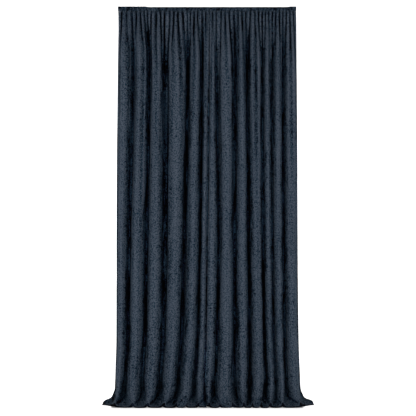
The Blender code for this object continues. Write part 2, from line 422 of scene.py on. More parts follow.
@dataclass(frozen=True)
class HangingCloth:
    """Works out where the middle of one drape's cloth hangs."""

    drape: Drape
    sizes: HangingSizes

    def fold_at(self, places: Array) -> tuple[Array, Array]:
        """The number of each place's fold, and the share of the way across it."""
        index = np.minimum(places.astype(int), len(self.drape.folds) - 1)
        return index, places - index

    def of_folds(self, name: str, index: Array) -> Array:
        """One named value of the fold at each place."""
        return np.array([float(getattr(fold, name)) for fold in self.drape.folds])[index]

    def of_valleys(self, name: str, index: Array, share: Array) -> Array:
        """One named value of the valleys beside each place, blended by the share between them."""
        known = np.array([float(getattr(valley, name)) for valley in self.drape.valleys])
        return mix(known[index], known[index + 1], share)

    def dips(self) -> tuple[Array, Array]:
        """All small valleys of the drape.

        Returns:
            Their places, counted in folds, and the lengths over which they run out.
        """
        found = []
        for number, (fold, valley) in enumerate(zip(self.drape.folds, self.drape.valleys)):
            found.append((float(number), valley.deepens))
            found += [(number + dip.share, dip.runs_out) for dip in fold.dips]
        found.append((float(len(self.drape.folds)), self.drape.valleys[-1].deepens))
        return tuple(np.array(found).T)

    def gather_at(self, places: Array) -> tuple[Array, Array, Array]:
        """Splits places into gathers.

        Args:
            places: places counted in folds.

        Returns:
            Each place's share of the way across its gather, the gather's width as a share of its
            fold's, and the length over which the nearer small valley runs out.
        """
        at, runs_out = self.dips()
        number = np.clip(np.searchsorted(at, places, side="right") - 1, 0, len(at) - 2)
        width = at[number + 1] - at[number]
        share = (places - at[number]) / width
        return share, width, np.where(share < 0.5, runs_out[number], runs_out[number + 1])

    def parts(self, places: Array, below: Array) -> tuple[Array, Array]:
        """How far the cloth has turned from gathers into folds.

        Args:
            places: places across the drape, counted in folds.
            below: distances below the pocket, as a column.

        Returns:
            The part that the fold has at each point, and the part that the gather still has.
        """
        index, share = self.fold_at(places)
        deepened = eased(below / self.of_valleys("deepens", index, share)) * math.pi / 2.0
        return np.sin(deepened), np.cos(deepened)

    def hung_depths(self, places: Array, below: Array) -> Array:
        """How far behind the rod line the cloth hangs above the foot.

        Args:
            places: places across the drape, counted in folds.
            below: distances below the pocket, as a column.

        Returns:
            The Y of each point.
        """
        sizes = self.sizes
        index, share = self.fold_at(places)
        gather_share, _, runs_out = self.gather_at(places)
        fold_part, gather_part = self.parts(places, below)
        away = 1.0 - self.near_join(places)

        depth = mix(sizes.gather_depth_at_seam, sizes.gather_depth, sizes.gathers_grow.at(below))
        varies = sizes.depth_varies * uneven(places * sizes.depth_ripples, sizes.depth_seed) * away
        depth = depth * (1.0 + varies)[None, :]
        left_over = np.cos(eased(below / runs_out / sizes.gathers_last) * math.pi / 2.0)
        gives_way = sizes.gathers_give_way * away * crest(share) ** 2
        left_over = left_over * (1.0 - gives_way * fold_part)
        front, back = self.of_folds("front", index), self.of_valleys("back", index, share)
        y = (front + back) * fold_part * crest(share) - front * fold_part
        y = y + depth * left_over * crest(gather_share) - depth * gather_part / 2.0
        return y - sizes.seam_forward * (1.0 - sizes.seam_forward_ends.at(below))

    def hung_shares(self, places: Array, below: Array) -> Array:
        """How far across its fold each point hangs above the foot.

        Args:
            places: places across the drape, counted in folds.
            below: distances below the pocket, as a column.

        Returns:
            Shares of the way from the fold's left valley line to its right one.
        """
        sizes = self.sizes
        index, share = self.fold_at(places)
        gather_share, gather_width, _ = self.gather_at(places)
        fold_part, gather_part = self.parts(places, below)
        turn, small_turn = TURN * share, TURN * gather_share
        relaxed = eased((sizes.knee - (sizes.cloth_top - below)) / (sizes.knee - sizes.foot))
        steepness = sizes.steepness * mix(1.0, sizes.steepness_left, relaxed)
        shift = steepness * np.sin(2.0 * turn) / 2.0 - sizes.fold_breadth * np.sin(turn)
        small_shift = sizes.steepness * np.sin(2.0 * small_turn) / 2.0
        small_shift = small_shift - sizes.gather_breadth * np.sin(small_turn)
        across = share + shift * fold_part / TURN
        across = across + small_shift * gather_part**sizes.gather_power * gather_width / TURN
        lean = self.of_folds("lean", index) * fold_part**sizes.lean_power
        return across + lean * (1.0 - crest(share))

    def hung_points(self, places: Array, below: Array) -> Array:
        """The cloth above the foot.

        Args:
            places: places across the drape, counted in folds.
            below: distances below the pocket.

        Returns:
            The points, a row for each distance and a column for each place.
        """
        sizes, outer = self.sizes, self.drape.side.outer
        index, _ = self.fold_at(places)
        heights = np.maximum(sizes.cloth_top - below, sizes.foot)
        lines = np.stack([through(sizes.levels, v.hung, heights) for v in self.drape.valleys], 1)
        z, below = (sizes.cloth_top - below)[:, None], below[:, None]
        x = mix(lines[:, index], lines[:, index + 1], self.hung_shares(places, below))
        overlaps = outer * self.near_join(places) * (1.0 - sizes.overlap_ends.at(below))
        x = x - sizes.overlap * overlaps * sizes.overlap_begins.at(below)
        x = x - self.tucked(places) * sizes.tuck_begins.at(below)
        y = self.hung_depths(places, below)
        y = y + sizes.overlap_apart * overlaps * sizes.overlap_parts.at(below)
        return np.stack([x, y, np.broadcast_to(z, x.shape)], 2)

    def near_join(self, places: Array) -> Array:
        """How near each place lies to the join of the two drapes, 1 at the join."""
        return self.near_end(places, -self.drape.side.outer, self.sizes.join_width)

    def tucked(self, places: Array) -> Array:
        """How far the edge that lies behind at the join runs on, 0 all over the drape in front."""
        behind = 1.0 if self.drape.side is Side.RIGHT else 0.0
        return behind * self.sizes.tucked_under * self.near_end(places, -1.0, self.sizes.tucked_within)

    def near_end(self, places: Array, end: float, width: float) -> Array:
        """How near places lie to one end of the drape, from 1 there to 0 at a width counted in folds."""
        away = places if end < 0.0 else len(self.drape.folds) - places
        return 1.0 - eased(away / width)

    def lobes_beside(self, index: int, share: float) -> tuple[tuple[float, ...], tuple[float, ...]]:
        """The floor lobes to the left and right of a place.

        Args:
            index: the number of the place's fold.
            share: the share of the way across it.

        Returns:
            Each lobe as its share, its X and its reach into the room.
        """
        left, right = self.drape.valleys[index], self.drape.valleys[index + 1]
        lobes = [(0.0, left.lobe, left.reach), (1.0, right.lobe, right.reach)]
        notch = self.drape.folds[index].notch
        if notch:
            middle = (mix(a, b, notch) for a, b in zip(lobes[0][1:], lobes[1][1:]))
            lobes.insert(1, (notch, *middle))
        first = 1 if notch and share > notch else 0
        return lobes[first], lobes[first + 1]

    def lobe_at(self, places: Array) -> Array:
        """How near each place lies to the middle of its floor lobe.

        Args:
            places: places across the drape, counted in folds.

        Returns:
            0 at a tip between two lobes, rising to 1.
        """
        index, share = self.fold_at(places)
        beside = np.array([self.lobes_beside(i, s) for i, s in zip(index, share)])[..., 0]
        return crest((share - beside[:, 0]) / (beside[:, 1] - beside[:, 0]))

    def foot_points(self, places: Array, down: Array) -> Array:
        """The cloth in the foot.

        Args:
            places: places across the drape, counted in folds.
            down: shares of the way from the top of the foot to the hem.

        Returns:
            The points, a row for each share and a column for each place.
        """
        sizes = self.sizes
        index, share = self.fold_at(places)
        beside = np.array([self.lobes_beside(i, s) for i, s in zip(index, share)])
        before, after = beside[:, 0].T, beside[:, 1].T
        phase = (share - before[0]) / (after[0] - before[0])
        lobe = self.lobe_at(places)
        reach = mix(sizes.tip_reach, mix(before[2], after[2], eased(phase)), lobe)
        lift = sizes.lobe_clearance + sizes.tip_lift * (1.0 - lobe) ** sizes.tip_sharpness

        start = self.hung_points(places, np.array([sizes.hung_length]))[0]
        down = down[:, None]
        corner = self.near_end(places, self.drape.side.outer, sizes.corner_width)
        bend = mix(mix(sizes.tip_bend, sizes.lobe_bend, lobe), 0.0, corner)
        height = curved(sizes.foot_height, lift + bend, lift, down)
        forward = mix(start[:, 1], -reach, sizes.forward_bend)
        y = curved(start[:, 1], mix(forward, sizes.corner_back, corner), -reach, down)
        across = phase + sizes.lobe_spread * np.sin(TURN * phase) / TURN
        low = through(sizes.corner_heights, sizes.corner_shares, height.ravel()).reshape(height.shape)
        spread = mix(before[1], after[1], across) - self.tucked(places)
        x = mix(start[:, 0], spread, mix(down**sizes.spread_power, low, corner))
        return np.stack([x, y, sizes.floor + height], 2)


def lengths_along(points: Array) -> Array:
    """The length along each row of points from its first point to each of them."""
    steps = np.linalg.norm(np.diff(points, axis=1), axis=2)
    return np.concatenate([np.zeros((len(points), 1)), np.cumsum(steps, 1)], 1)


def room_normals(points: Array) -> Array:
    """The directions that face away from a grid's back.

    Args:
        points: a grid of points, rows from the top down and columns from left to right.

    Returns:
        Unit normals, which face the room where the rows and columns run that way.
    """
    across, down = np.gradient(points, axis=1), np.gradient(points, axis=0)
    normals = np.cross(down, across)
    return normals / np.maximum(np.linalg.norm(normals, axis=2, keepdims=True), SHORTEST)


def openness_painted_as_shade(points: Array) -> Array:
    """How much of the room each point of a folded sheet sees along its own level; the pile's colour takes it
    as painted shade.

    Args:
        points: a grid of points, a row for each level and columns from left to right.

    Returns:
        1 on a fold's front, falling towards 0 deep in a valley.
    """
    painted_light = []
    for row in points:
        aside = row[None, :, 0] - row[:, None, 0]
        before = row[:, None, 1] - row[None, :, 1]
        right = np.triu(np.ones_like(aside, dtype=bool), 1)
        to_right = np.where(right, np.arctan2(before, aside), 0.0).max(1)
        to_left = np.where(right.T, np.arctan2(before, -aside), 0.0).max(1)
        painted_light.append(1.0 - (np.maximum(to_right, 0.0) + np.maximum(to_left, 0.0)) / math.pi)
    return np.clip(np.array(painted_light), 0.0, 1.0)


@dataclass(frozen=True)
class BakeRoom:
    """A rectangle of a piece's second map, which holds one grid of faces and nothing else."""

    left: float
    right: float
    bottom: float = 0.05
    top: float = 0.995

    def grid(self, rows: int, columns: int) -> Array:
        """The places of a grid's points in this rectangle.

        Args:
            rows: how many rows of points there are, from the top down.
            columns: how many columns there are, from left to right.

        Returns:
            The places, as a grid.
        """
        across = np.linspace(self.left, self.right, columns)[None, :]
        down = np.linspace(self.top, self.bottom, rows)[:, None]
        return np.stack(np.broadcast_arrays(across, down), 2)


FRONT_ROOM = BakeRoom(0.005, 0.495)
BACK_ROOM = BakeRoom(0.505, 0.995)
RIM_ROOMS = tuple(BakeRoom(0.005, 0.995, low, low + 0.006) for low in (0.004, 0.013, 0.022, 0.031))


@dataclass
class ClothMesh:
    """Collects the two faces and the rims of a sheet as one closed mesh."""

    name: str
    verts: list[Array] = field(default_factory=list)
    faces: list[Array] = field(default_factory=list)
    slots: list[Array] = field(default_factory=list)
    cloth: list[Array] = field(default_factory=list)
    painted_light: list[Array] = field(default_factory=list)
    painted_trough_shade: list[Array] = field(default_factory=list)
    bake: list[Array] = field(default_factory=list)
    count: int = 0

    def add_points(self, points: Array, cloth: Array, painted_light: Array, painted_trough_shade: Array | None = None) -> Array:
        """Adds a grid of points.

        Args:
            points: the grid.
            cloth: each point's place on the flat cloth, across and down, in metres.
            painted_light: the painted light and shade at each point, from how much of the room it sees, 0 in
                a valley to 1 on a fold's front.
            painted_trough_shade: how much painted shade darkens each point beyond its surroundings, or None
                where none is.

        Returns:
            The numbers of the new points, as a grid.
        """
        numbers = self.count + np.arange(painted_light.size).reshape(painted_light.shape)
        self.verts.append(points.reshape(-1, 3))
        self.cloth.append(cloth.reshape(-1, 2))
        self.painted_light.append(painted_light.ravel())
        self.painted_trough_shade.append(np.zeros(painted_light.size) if painted_trough_shade is None else painted_trough_shade.ravel())
        self.count += painted_light.size
        return numbers

    def add_grid(self, numbers: Array, slot: int, turned: bool, room: BakeRoom) -> None:
        """Adds a face between each four neighbours of a grid of points.

        Args:
            numbers: the points' numbers, rows from the top down and columns from left to right.
            slot: the material slot of the new faces.
            turned: whether the faces look the other way.
            room: the part of the second map that they take.
        """

        def cells(grid: Array) -> Array:
            """The four corners of each cell of a grid.

            Args:
                grid: the grid.

            Returns:
                A row for each cell, with its corners in the order of a face.
            """
            corners = [grid[:-1, :-1], grid[1:, :-1], grid[1:, 1:], grid[:-1, 1:]]
            around = np.stack(corners[::-1] if turned else corners, 2)
            return around.reshape(-1, *around.shape[2:])

        made = cells(numbers)
        self.faces.append(made)
        self.slots.append(np.full(len(made), slot))
        self.bake.append(cells(room.grid(*numbers.shape)))

    def build(self) -> bpy.types.Object:
        """Makes the mesh, with its maps and attributes.

        Returns:
            The new object.
        """
        verts, faces = np.concatenate(self.verts), np.concatenate(self.faces)
        mesh = bpy.data.meshes.new(self.name)
        mesh.from_pydata(verts.tolist(), [], faces.tolist())
        mesh.polygons.foreach_set("material_index", np.concatenate(self.slots).astype(np.int32))
        corners = faces.ravel()
        cloth = np.concatenate(self.cloth)
        layer = mesh.uv_layers.new(name="cloth")
        layer.uv.foreach_set("vector", cloth[corners].astype(np.float32).ravel())
        layer = mesh.uv_layers.new(name="OFBake")
        layer.uv.foreach_set("vector", np.concatenate(self.bake).astype(np.float32).ravel())
        for name, values in (("openness_painted_as_shade", self.painted_light), ("painted_trough_shade", self.painted_trough_shade)):
            layer = mesh.attributes.new(name, "FLOAT", "POINT")
            layer.data.foreach_set("value", np.concatenate(values).astype(np.float32))
        mesh.update()
        return shown(mesh)


def shown(mesh: bpy.types.Mesh) -> bpy.types.Object:
    """Shades a mesh smooth and puts it in the scene.

    Args:
        mesh: the mesh, which gives the object its name.

    Returns:
        The new object.
    """
    mesh.shade_smooth()
    piece = bpy.data.objects.new(mesh.name, mesh)
    bpy.context.scene.collection.objects.link(piece)
    return piece


@dataclass(frozen=True)
class PaintedFootLightAndShade:
    """Painted light and shade on the pile near the floor: painted shade on the lobes, dark painted strokes
    between them, painted shade under the hem and a painted highlight along the hem line.
    """

    hem_shade: float = 0.05
    hem_shade_begins: Ramp = Ramp(0.003, 0.004)
    hem_line: float = 0.0135
    hem_line_rises: float = 0.030
    hem_line_width: float = 0.0042
    painted_hem_highlight: float = 1.25
    hem_line_weight: float = 0.9
    painted_lobe_shade: float = 0.41
    lobe_tone_weight: float = 0.82
    lobe_edge: float = 0.050
    lobe_edge_varies: float = 0.014
    lobe_edge_ripples: float = 3.1
    lobe_edge_blurs: Ramp = Ramp(-0.25, 0.5)
    ridge_narrows_over: float = 0.20
    notch_narrows_over: float = 0.07
    notch_width: float = 0.25
    ridge_leans: float = 0.07
    ridge_straightens: Ramp = Ramp(0.0, 0.25)
    stroke_shade: float = 0.84
    stroke_width: float = 0.060
    stroke_runs: float = 0.42
    stroke_straightens: Ramp = Ramp(0.0, 0.13)
    stroke_ends: Ramp = Ramp(0.09, 0.10)
    seed: float = 44.0

    def over(self, painted_light: Array, hanging: HangingCloth, places: Array, down: Array) -> Array:
        """Paints light and shade on the pile near the floor.

        Args:
            painted_light: the painted light and shade so far, from how much of the room each point sees.
            hanging: the shape that the cloth hangs in.
            places: the columns' places, counted in folds.
            down: the rows' distances down the cloth.

        Returns:
            The same shares with the foot's painted shade and the painted highlight along the hem.
        """
        from_hem, outer = (down[-1] - down)[:, None], hanging.drape.side.outer
        leans = outer * self.ridge_leans * (1.0 - self.ridge_straightens.at(from_hem))
        tip = np.interp(places - leans, places, 1.0 - hanging.lobe_at(places))
        index, share = hanging.fold_at(places)
        notch = hanging.of_folds("notch", index)
        in_notch = (notch > 0.0) & (np.abs(share - notch) < self.notch_width)
        narrows_over = np.where(in_notch, self.notch_narrows_over, self.ridge_narrows_over)
        # Painted shade: the lobes near the floor are pulled to a dark tone, so the lit ridges narrow to
        # points.
        ends = self.lobe_edge + self.lobe_edge_varies * uneven(places * self.lobe_edge_ripples, self.seed)
        narrows = self.lobe_edge_blurs.at(1.0 - (from_hem - ends) / narrows_over - tip)
        painted_light = mix(painted_light, self.painted_lobe_shade, self.lobe_tone_weight * narrows)

        # Painted shade: dark strokes between the lobes, where the hollows under the ridge tips lie.
        stroke = places - outer * self.stroke_runs * (1.0 - self.stroke_straightens.at(from_hem))
        stroke = bell((stroke - np.round(stroke)) / self.stroke_width)
        painted_light = painted_light * (1.0 - self.stroke_shade * stroke * (1.0 - self.stroke_ends.at(from_hem)))
        # Painted highlight along the hem line, with painted shade below it at the hem's edge.
        line = self.hem_line + self.hem_line_rises * tip**2
        lit = self.hem_line_weight * bell((from_hem - line) / self.hem_line_width)
        above = 1.0 - self.hem_shade_begins.at(line - from_hem)
        return mix(painted_light, self.painted_hem_highlight, lit) * mix(self.hem_shade, 1.0, above)


@dataclass(frozen=True)
class PaintedBorderHighlights:
    """A painted highlight along the left border of each fold, as if lit from the left, in uneven lengths."""

    place: float = 0.22
    width: float = 0.055
    light: float = 0.34
    patch_length: float = 0.30
    patch_base: float = 0.6
    patch_varies: float = 0.6
    begins: Ramp = Ramp(0.25, 0.25)
    ends: Ramp = Ramp(-0.40, 0.20)
    seed: float = 54.0

    def over(self, hanging: HangingCloth, places: Array, down: Array) -> Array:
        """How much painted highlight is added.

        Args:
            hanging: the shape that the cloth hangs in.
            places: the columns' places, counted in folds.
            down: the rows' distances down the cloth.

        Returns:
            The light that is added to each point's share.
        """
        index, share = hanging.fold_at(places)
        patches = ripples(down[:, None] / self.patch_length, index[None, :].astype(float), self.seed)
        strength = np.clip(self.patch_base + self.patch_varies * patches, 0.0, 1.0)
        fades = self.begins.at(down) * (1.0 - self.ends.at(down - down[-1]))
        return self.light * bell((share - self.place) / self.width) * fades[:, None] * strength


@dataclass(frozen=True)
class PaintedTroughShade:
    """Painted shade in soft trough lines that run on down from the small valleys of the heading, with a
    painted highlight just beside each.
    """

    shade: float = 0.44
    width: float = 0.048
    light: float = 0.24
    light_beside: float = 2.2
    clear_of_valleys: float = 0.13
    runs_on: float = 4.0
    begins: Ramp = Ramp(0.0, 0.06)
    fades_from: float = 0.08
    patch_length: float = 0.26
    patches_a_fold: float = 2.3
    patch_base: float = 0.85
    patch_varies: float = 0.5
    patch_least: float = 0.3
    seed: float = 64.0

    def over(self, hanging: HangingCloth, places: Array, down: Array) -> Array:
        """The painted shade and highlight of each trough line.

        Args:
            hanging: the shape that the cloth hangs in.
            places: the columns' places, counted in folds.
            down: the rows' distances down the cloth.

        Returns:
            How much painted shade darkens each point, below 0 where a highlight is painted just to the right
            of a trough.
        """
        share, width, runs_out = hanging.gather_at(places)
        from_valley = np.minimum(share, 1.0 - share) * width / self.width
        beside = share * width / self.width - self.light_beside
        patches = ripples(down[:, None] / self.patch_length, places[None, :] * self.patches_a_fold, self.seed)
        strength = np.clip(self.patch_base + self.patch_varies * patches, self.patch_least, 1.0)
        fades = 1.0 - eased((down[:, None] - self.fades_from) / (runs_out * self.runs_on))
        across_fold = hanging.fold_at(places)[1]
        inside = eased(np.minimum(across_fold, 1.0 - across_fold) / self.clear_of_valleys)
        tone = self.shade * inside * bell(from_valley) - self.light * bell(beside)
        return tone * fades * strength * self.begins.at(down)[:, None]


@dataclass(frozen=True)
class PaintedEdgeLightAndShade:
    """Painted light and shade along the panel's edges: painted shade at its side rims and in the join with
    the other drape, and painted light on the gathers under the pocket's seam.
    """

    rim_shade: float = 0.45
    rim_width: float = 0.012
    join_shade: float = 0.95
    join_width_behind: float = 0.68
    join_width_before: float = 0.22
    join_begins: Ramp = Ramp(2.34, 0.22)
    join_ends: Ramp = Ramp(-0.10, 0.06)
    seam_light: float = 0.34
    seam_light_length: float = 0.016
    seam_light_varies: float = 0.014
    seam_ripple: float = 0.024
    seed: float = 34.0

    def at_seam(self, across: Array, down: Array) -> Array:
        """How much painted light is added to the gathers just under the pocket, each from its own level."""
        varies = self.seam_light_varies * uneven(across / self.seam_ripple, self.seed)
        return self.seam_light * (1.0 - eased(down[:, None] / (self.seam_light_length + varies)))

    def at_join(self, hanging: HangingCloth, places: Array, down: Array) -> Array:
        """How much light is left under the painted shade on the cloth in the gap where the two drapes meet.

        Args:
            hanging: the shape that the cloth hangs in.
            places: the columns' places, counted in folds.
            down: the rows' distances down the cloth.

        Returns:
            Shares of the light, 1 away from the gap and above its lower part.
        """
        side = hanging.drape.side
        within = self.join_width_behind if side is Side.RIGHT else self.join_width_before
        opens = self.join_begins.at(down) * (1.0 - self.join_ends.at(down - down[-1]))
        return 1.0 - self.join_shade * hanging.near_end(places, -side.outer, within) * opens[:, None]

    def at_rim(self, from_rim: Array) -> Array:
        """How much light is left under the painted shade at distances from the nearer side rim."""
        return mix(self.rim_shade, 1.0, eased(from_rim / self.rim_width))


@dataclass(frozen=True)
class VelvetPanel:
    """One hanging length of velvet with its side hems and its bottom hem."""

    drape: Drape
    sizes: HangingSizes = HangingSizes()
    painted_foot_light_and_shade: PaintedFootLightAndShade = PaintedFootLightAndShade()
    painted_border_highlights: PaintedBorderHighlights = PaintedBorderHighlights()
    painted_trough_shade: PaintedTroughShade = PaintedTroughShade()
    painted_edge_light_and_shade: PaintedEdgeLightAndShade = PaintedEdgeLightAndShade()
    thickness: float = 0.0016
    hem_thickness: float = 0.0028
    rim_bulge: float = 0.4
    side_hem: float = 0.025
    bottom_hem: float = 0.040
    hem_fold_depth: float = 0.0008
    hem_fold_width: float = 0.003
    hem_fold_begins: Ramp = Ramp(0.0, 0.03)
    column_count: int = 384
    hem_column_step: float = 0.002
    probe_count: int = 2400
    probe_levels: tuple[float, ...] = (0.045, 0.4, 1.2, 2.2)
    seam_row: float = 0.003
    gathered_rows: tuple[float, float, float] = (0.0, 0.048, 0.006)
    merging_rows: tuple[float, float, float] = (0.048, 0.42, 0.0155)
    hanging_rows: int = 50
    foot_rows: tuple[tuple[float, float, int], ...] = ((0.0, 0.64, 16), (0.64, 1.0, 20))
    slow_wrinkles: Ripple = Ripple(0.0022, 0.050, 0.42, 0.0, 0.2)
    small_wrinkles: Ripple = Ripple(0.0011, 0.021, 0.13, 5.0)
    floor_buckles: Ripple = Ripple(0.0030, 0.036, 0.062, 9.0)
    floor_buckles_begin: Ramp = Ramp(-0.16, 0.20)
    fine_gathers: Ripple = Ripple(0.0040, 0.0165, 0.34, 17.0)
    fine_gathers_end: Ramp = Ramp(0.05, 0.80)
    side_puckers: Ripple = Ripple(0.0007, 0.034, 1.0, 13.0)
    side_pucker_width: float = 0.012
    wrinkles_begin: Ramp = Ramp(0.0, 0.05)
    flattens: Ramp = Ramp(-0.06, 0.05)
    flat_share: float = 0.2
    crease_fade_power: float = 0.8
    seed: float = 3.0

    @property
    def name(self) -> str:
        """The piece's name."""
        return f"velvet_panel_{self.drape.side.value}"

    @property
    def hanging(self) -> HangingCloth:
        """The shape that the cloth hangs in."""
        return HangingCloth(self.drape, self.sizes)

    def columns(self) -> tuple[Array, Array]:
        """Where the columns of points stand.

        Returns:
            Their places counted in folds, and how far across the flat cloth they lie.
        """
        dense = np.linspace(0.0, len(self.drape.folds), self.probe_count)
        shares = lengths_along(self.hanging.hung_points(dense, np.array(self.probe_levels)))
        across = (shares / shares[:, -1:]).mean(0) * CLOTH_WIDTH
        wanted = np.linspace(0.0, CLOTH_WIDTH, self.column_count)
        hem = self.side_hem + self.hem_column_step * np.array([-1.0, 0.0, 1.0])
        wanted = np.unique(np.round(np.concatenate([wanted, hem, CLOTH_WIDTH - hem]), MICROMETRE_DECIMALS))
        return np.interp(wanted, across, dense), wanted

    def rows(self) -> tuple[Array, Array]:
        """Where the rows of points lie.

        Returns:
            Distances below the pocket above the foot, and shares of the way down the foot.
        """
        hanging = np.linspace(self.merging_rows[1], self.sizes.hung_length, self.hanging_rows)
        parts = [np.arange(*self.gathered_rows), [self.seam_row], np.arange(*self.merging_rows), hanging]
        below = np.unique(np.round(np.concatenate(parts), MICROMETRE_DECIMALS))
        return below, np.concatenate([np.linspace(*part)[1:] for part in self.foot_rows])

    def creases(self, places: Array, down: Array) -> Array:
        """How deep the listed creases press into the cloth.

        Args:
            places: the columns' places, counted in folds.
            down: the rows' distances below the pocket.

        Returns:
            Depths in metres, a row for each distance.
        """
        depth = np.zeros((len(down), len(places)))
        for crease in self.drape.creases:
            share = np.clip((down - crease.top) / (crease.bottom - crease.top), 0.0, 1.0)
            fades = np.sin(math.pi * share)[:, None] ** self.crease_fade_power
            centre = (crease.fold + crease.share + crease.drift * share)[:, None]
            fold = self.drape.valleys[crease.fold + 1].waist - self.drape.valleys[crease.fold].waist
            depth += crease.depth * fades * bell((places - centre) * fold / crease.width)
        return depth

    def wrinkles(self, across: Array, down: Array) -> Array:
        """Soft unevenness of the hanging cloth, with short buckles where it nears the floor.

        Args:
            across: the columns' places across the flat cloth.
            down: the rows' distances down the cloth.

        Returns:
            Relief in metres.
        """
        u, v = across[None, :], down[:, None]
        seed = self.seed + self.drape.side.outer
        relief = self.slow_wrinkles.at(u, v, seed) + self.small_wrinkles.at(u, v, seed)
        near_floor = self.floor_buckles_begin.at(v - self.sizes.hung_length)
        relief = relief + near_floor * self.floor_buckles.at(u, v, seed)
        relief = relief + (1.0 - self.fine_gathers_end.at(v)) * self.fine_gathers.at(u, v, seed)
        from_hem = np.minimum(u, CLOTH_WIDTH - u) - self.side_hem
        relief = relief + self.side_puckers.at(v, u * 0.0, seed) * bell(from_hem / self.side_pucker_width)
        at_floor = mix(1.0, self.flat_share, self.flattens.at(v - down[-1]))
        return relief * self.wrinkles_begin.at(v) * at_floor

    def middle(self) -> tuple[Array, Array, Array, Array]:
        """The middle of the cloth.

        Returns:
            Its grid of points, the columns' places counted in folds, and how far across and how far
            down the flat cloth they lie.
        """
        places, across = self.columns()
        below, foot = self.rows()
        hung = self.hanging.hung_points(places, below)
        points = np.concatenate([hung, self.hanging.foot_points(places, foot)])
        steps = np.linalg.norm(np.diff(points[len(below) - 1 :], axis=0), axis=2).mean(1)
        down = np.concatenate([below, below[-1] + np.cumsum(steps)])
        relief = self.wrinkles(across, down) - self.creases(places, down)
        from_folds = (across - self.side_hem, CLOTH_WIDTH - across - self.side_hem)
        hem_fold = sum(bell(offset / self.hem_fold_width) for offset in from_folds)
        relief = relief - self.hem_fold_depth * hem_fold * self.hem_fold_begins.at(down)[:, None]
        return points + room_normals(points) * relief[..., None], places, across, down

    def back_steps(self, across: Array, down: Array) -> Array:
        """How far the back face lies behind the middle, more where a hem is turned.

        Args:
            across: the columns' places across the flat cloth.
            down: the rows' distances down the cloth.

        Returns:
            The distance at each point.
        """
        in_hem = np.minimum(across, CLOTH_WIDTH - across) < self.side_hem
        in_bottom = down > down[-1] - self.bottom_hem
        hemmed = in_hem[None, :] | in_bottom[:, None]
        return np.where(hemmed, self.hem_thickness, self.thickness) - self.thickness / 2.0

    def tones(self, points: Array, places: Array, across: Array, down: Array) -> Array:
        """How much of the room each point sees, with painted light and shade added on the pile.

        Args:
            points: the grid of points of the cloth's middle.
            places: the columns' places, counted in folds.
            across: the columns' places across the flat cloth.
            down: the rows' distances down the cloth.

        Returns:
            Shares from 0 in a valley to 1 on a fold's front, and above 1 where a highlight is painted.
        """
        painted_light = openness_painted_as_shade(points) + self.painted_border_highlights.over(self.hanging, places, down)
        painted_light = self.painted_foot_light_and_shade.over(painted_light, self.hanging, places, down) + self.painted_edge_light_and_shade.at_seam(across, down)
        painted_light = painted_light * self.painted_edge_light_and_shade.at_rim(np.minimum(across, CLOTH_WIDTH - across))
        return painted_light * self.painted_edge_light_and_shade.at_join(self.hanging, places, down)

    def build(self) -> tuple[bpy.types.Object, Array, Array, Array, Array]:
        """Builds the panel's closed mesh.

        Returns:
            The piece, the points and normals of its front face, and its places across and down.
        """
        points, places, across, down = self.middle()
        normals = room_normals(points)
        front = points + normals * self.thickness / 2.0
        back = points - normals * self.back_steps(across, down)[..., None]
        cloth = np.stack(np.broadcast_arrays(across[None, :], -down[:, None]), 2)
        painted_light = self.tones(points, places, across, down)
        painted_trough_shade = self.painted_trough_shade.over(self.hanging, places, down)

        sheet = ClothMesh(self.name)
        faces = [sheet.add_points(face, cloth, painted_light, painted_trough_shade) for face in (front, back)]
        sheet.add_grid(faces[0], 0, False, FRONT_ROOM)
        sheet.add_grid(faces[1], 1, True, BACK_ROOM)
        for edge, room in zip(self.edges(len(down), len(across)), RIM_ROOMS):
            self.add_rim(sheet, faces, (front, back), (cloth, painted_light), edge, room)
        return sheet.build(), front, normals, across, down

    @staticmethod
    def edges(row_count: int, column_count: int) -> Iterator[tuple[Array, Array, Array, Array]]:
        """The four edges of the sheet.

        Args:
            row_count: how many rows of points it has.
            column_count: how many columns it has.

        Yields:
            Each edge as its rows and columns, and the rows and columns just inside it.
        """
        rows, columns = np.arange(row_count), np.arange(column_count)
        first_row, last_row = np.zeros(column_count, int), np.full(column_count, row_count - 1)
        first_column, last_column = np.zeros(row_count, int), np.full(row_count, column_count - 1)
        yield first_row, columns[::-1], first_row + 1, columns[::-1]
        yield last_row, columns, last_row - 1, columns
        yield rows, first_column, rows, first_column + 1
        yield rows[::-1], last_column, rows[::-1], last_column - 1

    def add_rim(
        self,
        sheet: ClothMesh,
        faces: Sequence[Array],
        points: Sequence[Array],
        values: Sequence[Array],
        edge: tuple[Array, Array, Array, Array],
        room: BakeRoom,
    ) -> None:
        """Closes one edge with a rounded rim.

        Args:
            sheet: the mesh that takes the rim.
            faces: the numbers of the front and back points.
            points: the front and back points.
            values: the places on the flat cloth, and the painted light and shade at each point.
            edge: the rows and columns of the edge and of the points just inside it.
            room: the part of the second map that the rim takes.
        """
        rows, columns, inner_rows, inner_columns = edge
        front, back = points
        outward = front[rows, columns] - front[inner_rows, inner_columns]
        outward = outward / np.linalg.norm(outward, axis=1, keepdims=True)
        thickness = np.linalg.norm(front[rows, columns] - back[rows, columns], axis=1)
        between = (front[rows, columns] + back[rows, columns]) / 2.0
        round_edge = between + outward * thickness[:, None] * self.rim_bulge
        round_edge[[0, -1]] = between[[0, -1]]
        cloth, painted_light = values
        middle = sheet.add_points(round_edge, cloth[rows, columns], painted_light[rows, columns])
        sheet.add_grid(np.stack([faces[0][rows, columns], middle, faces[1][rows, columns]]), 0, False, room)


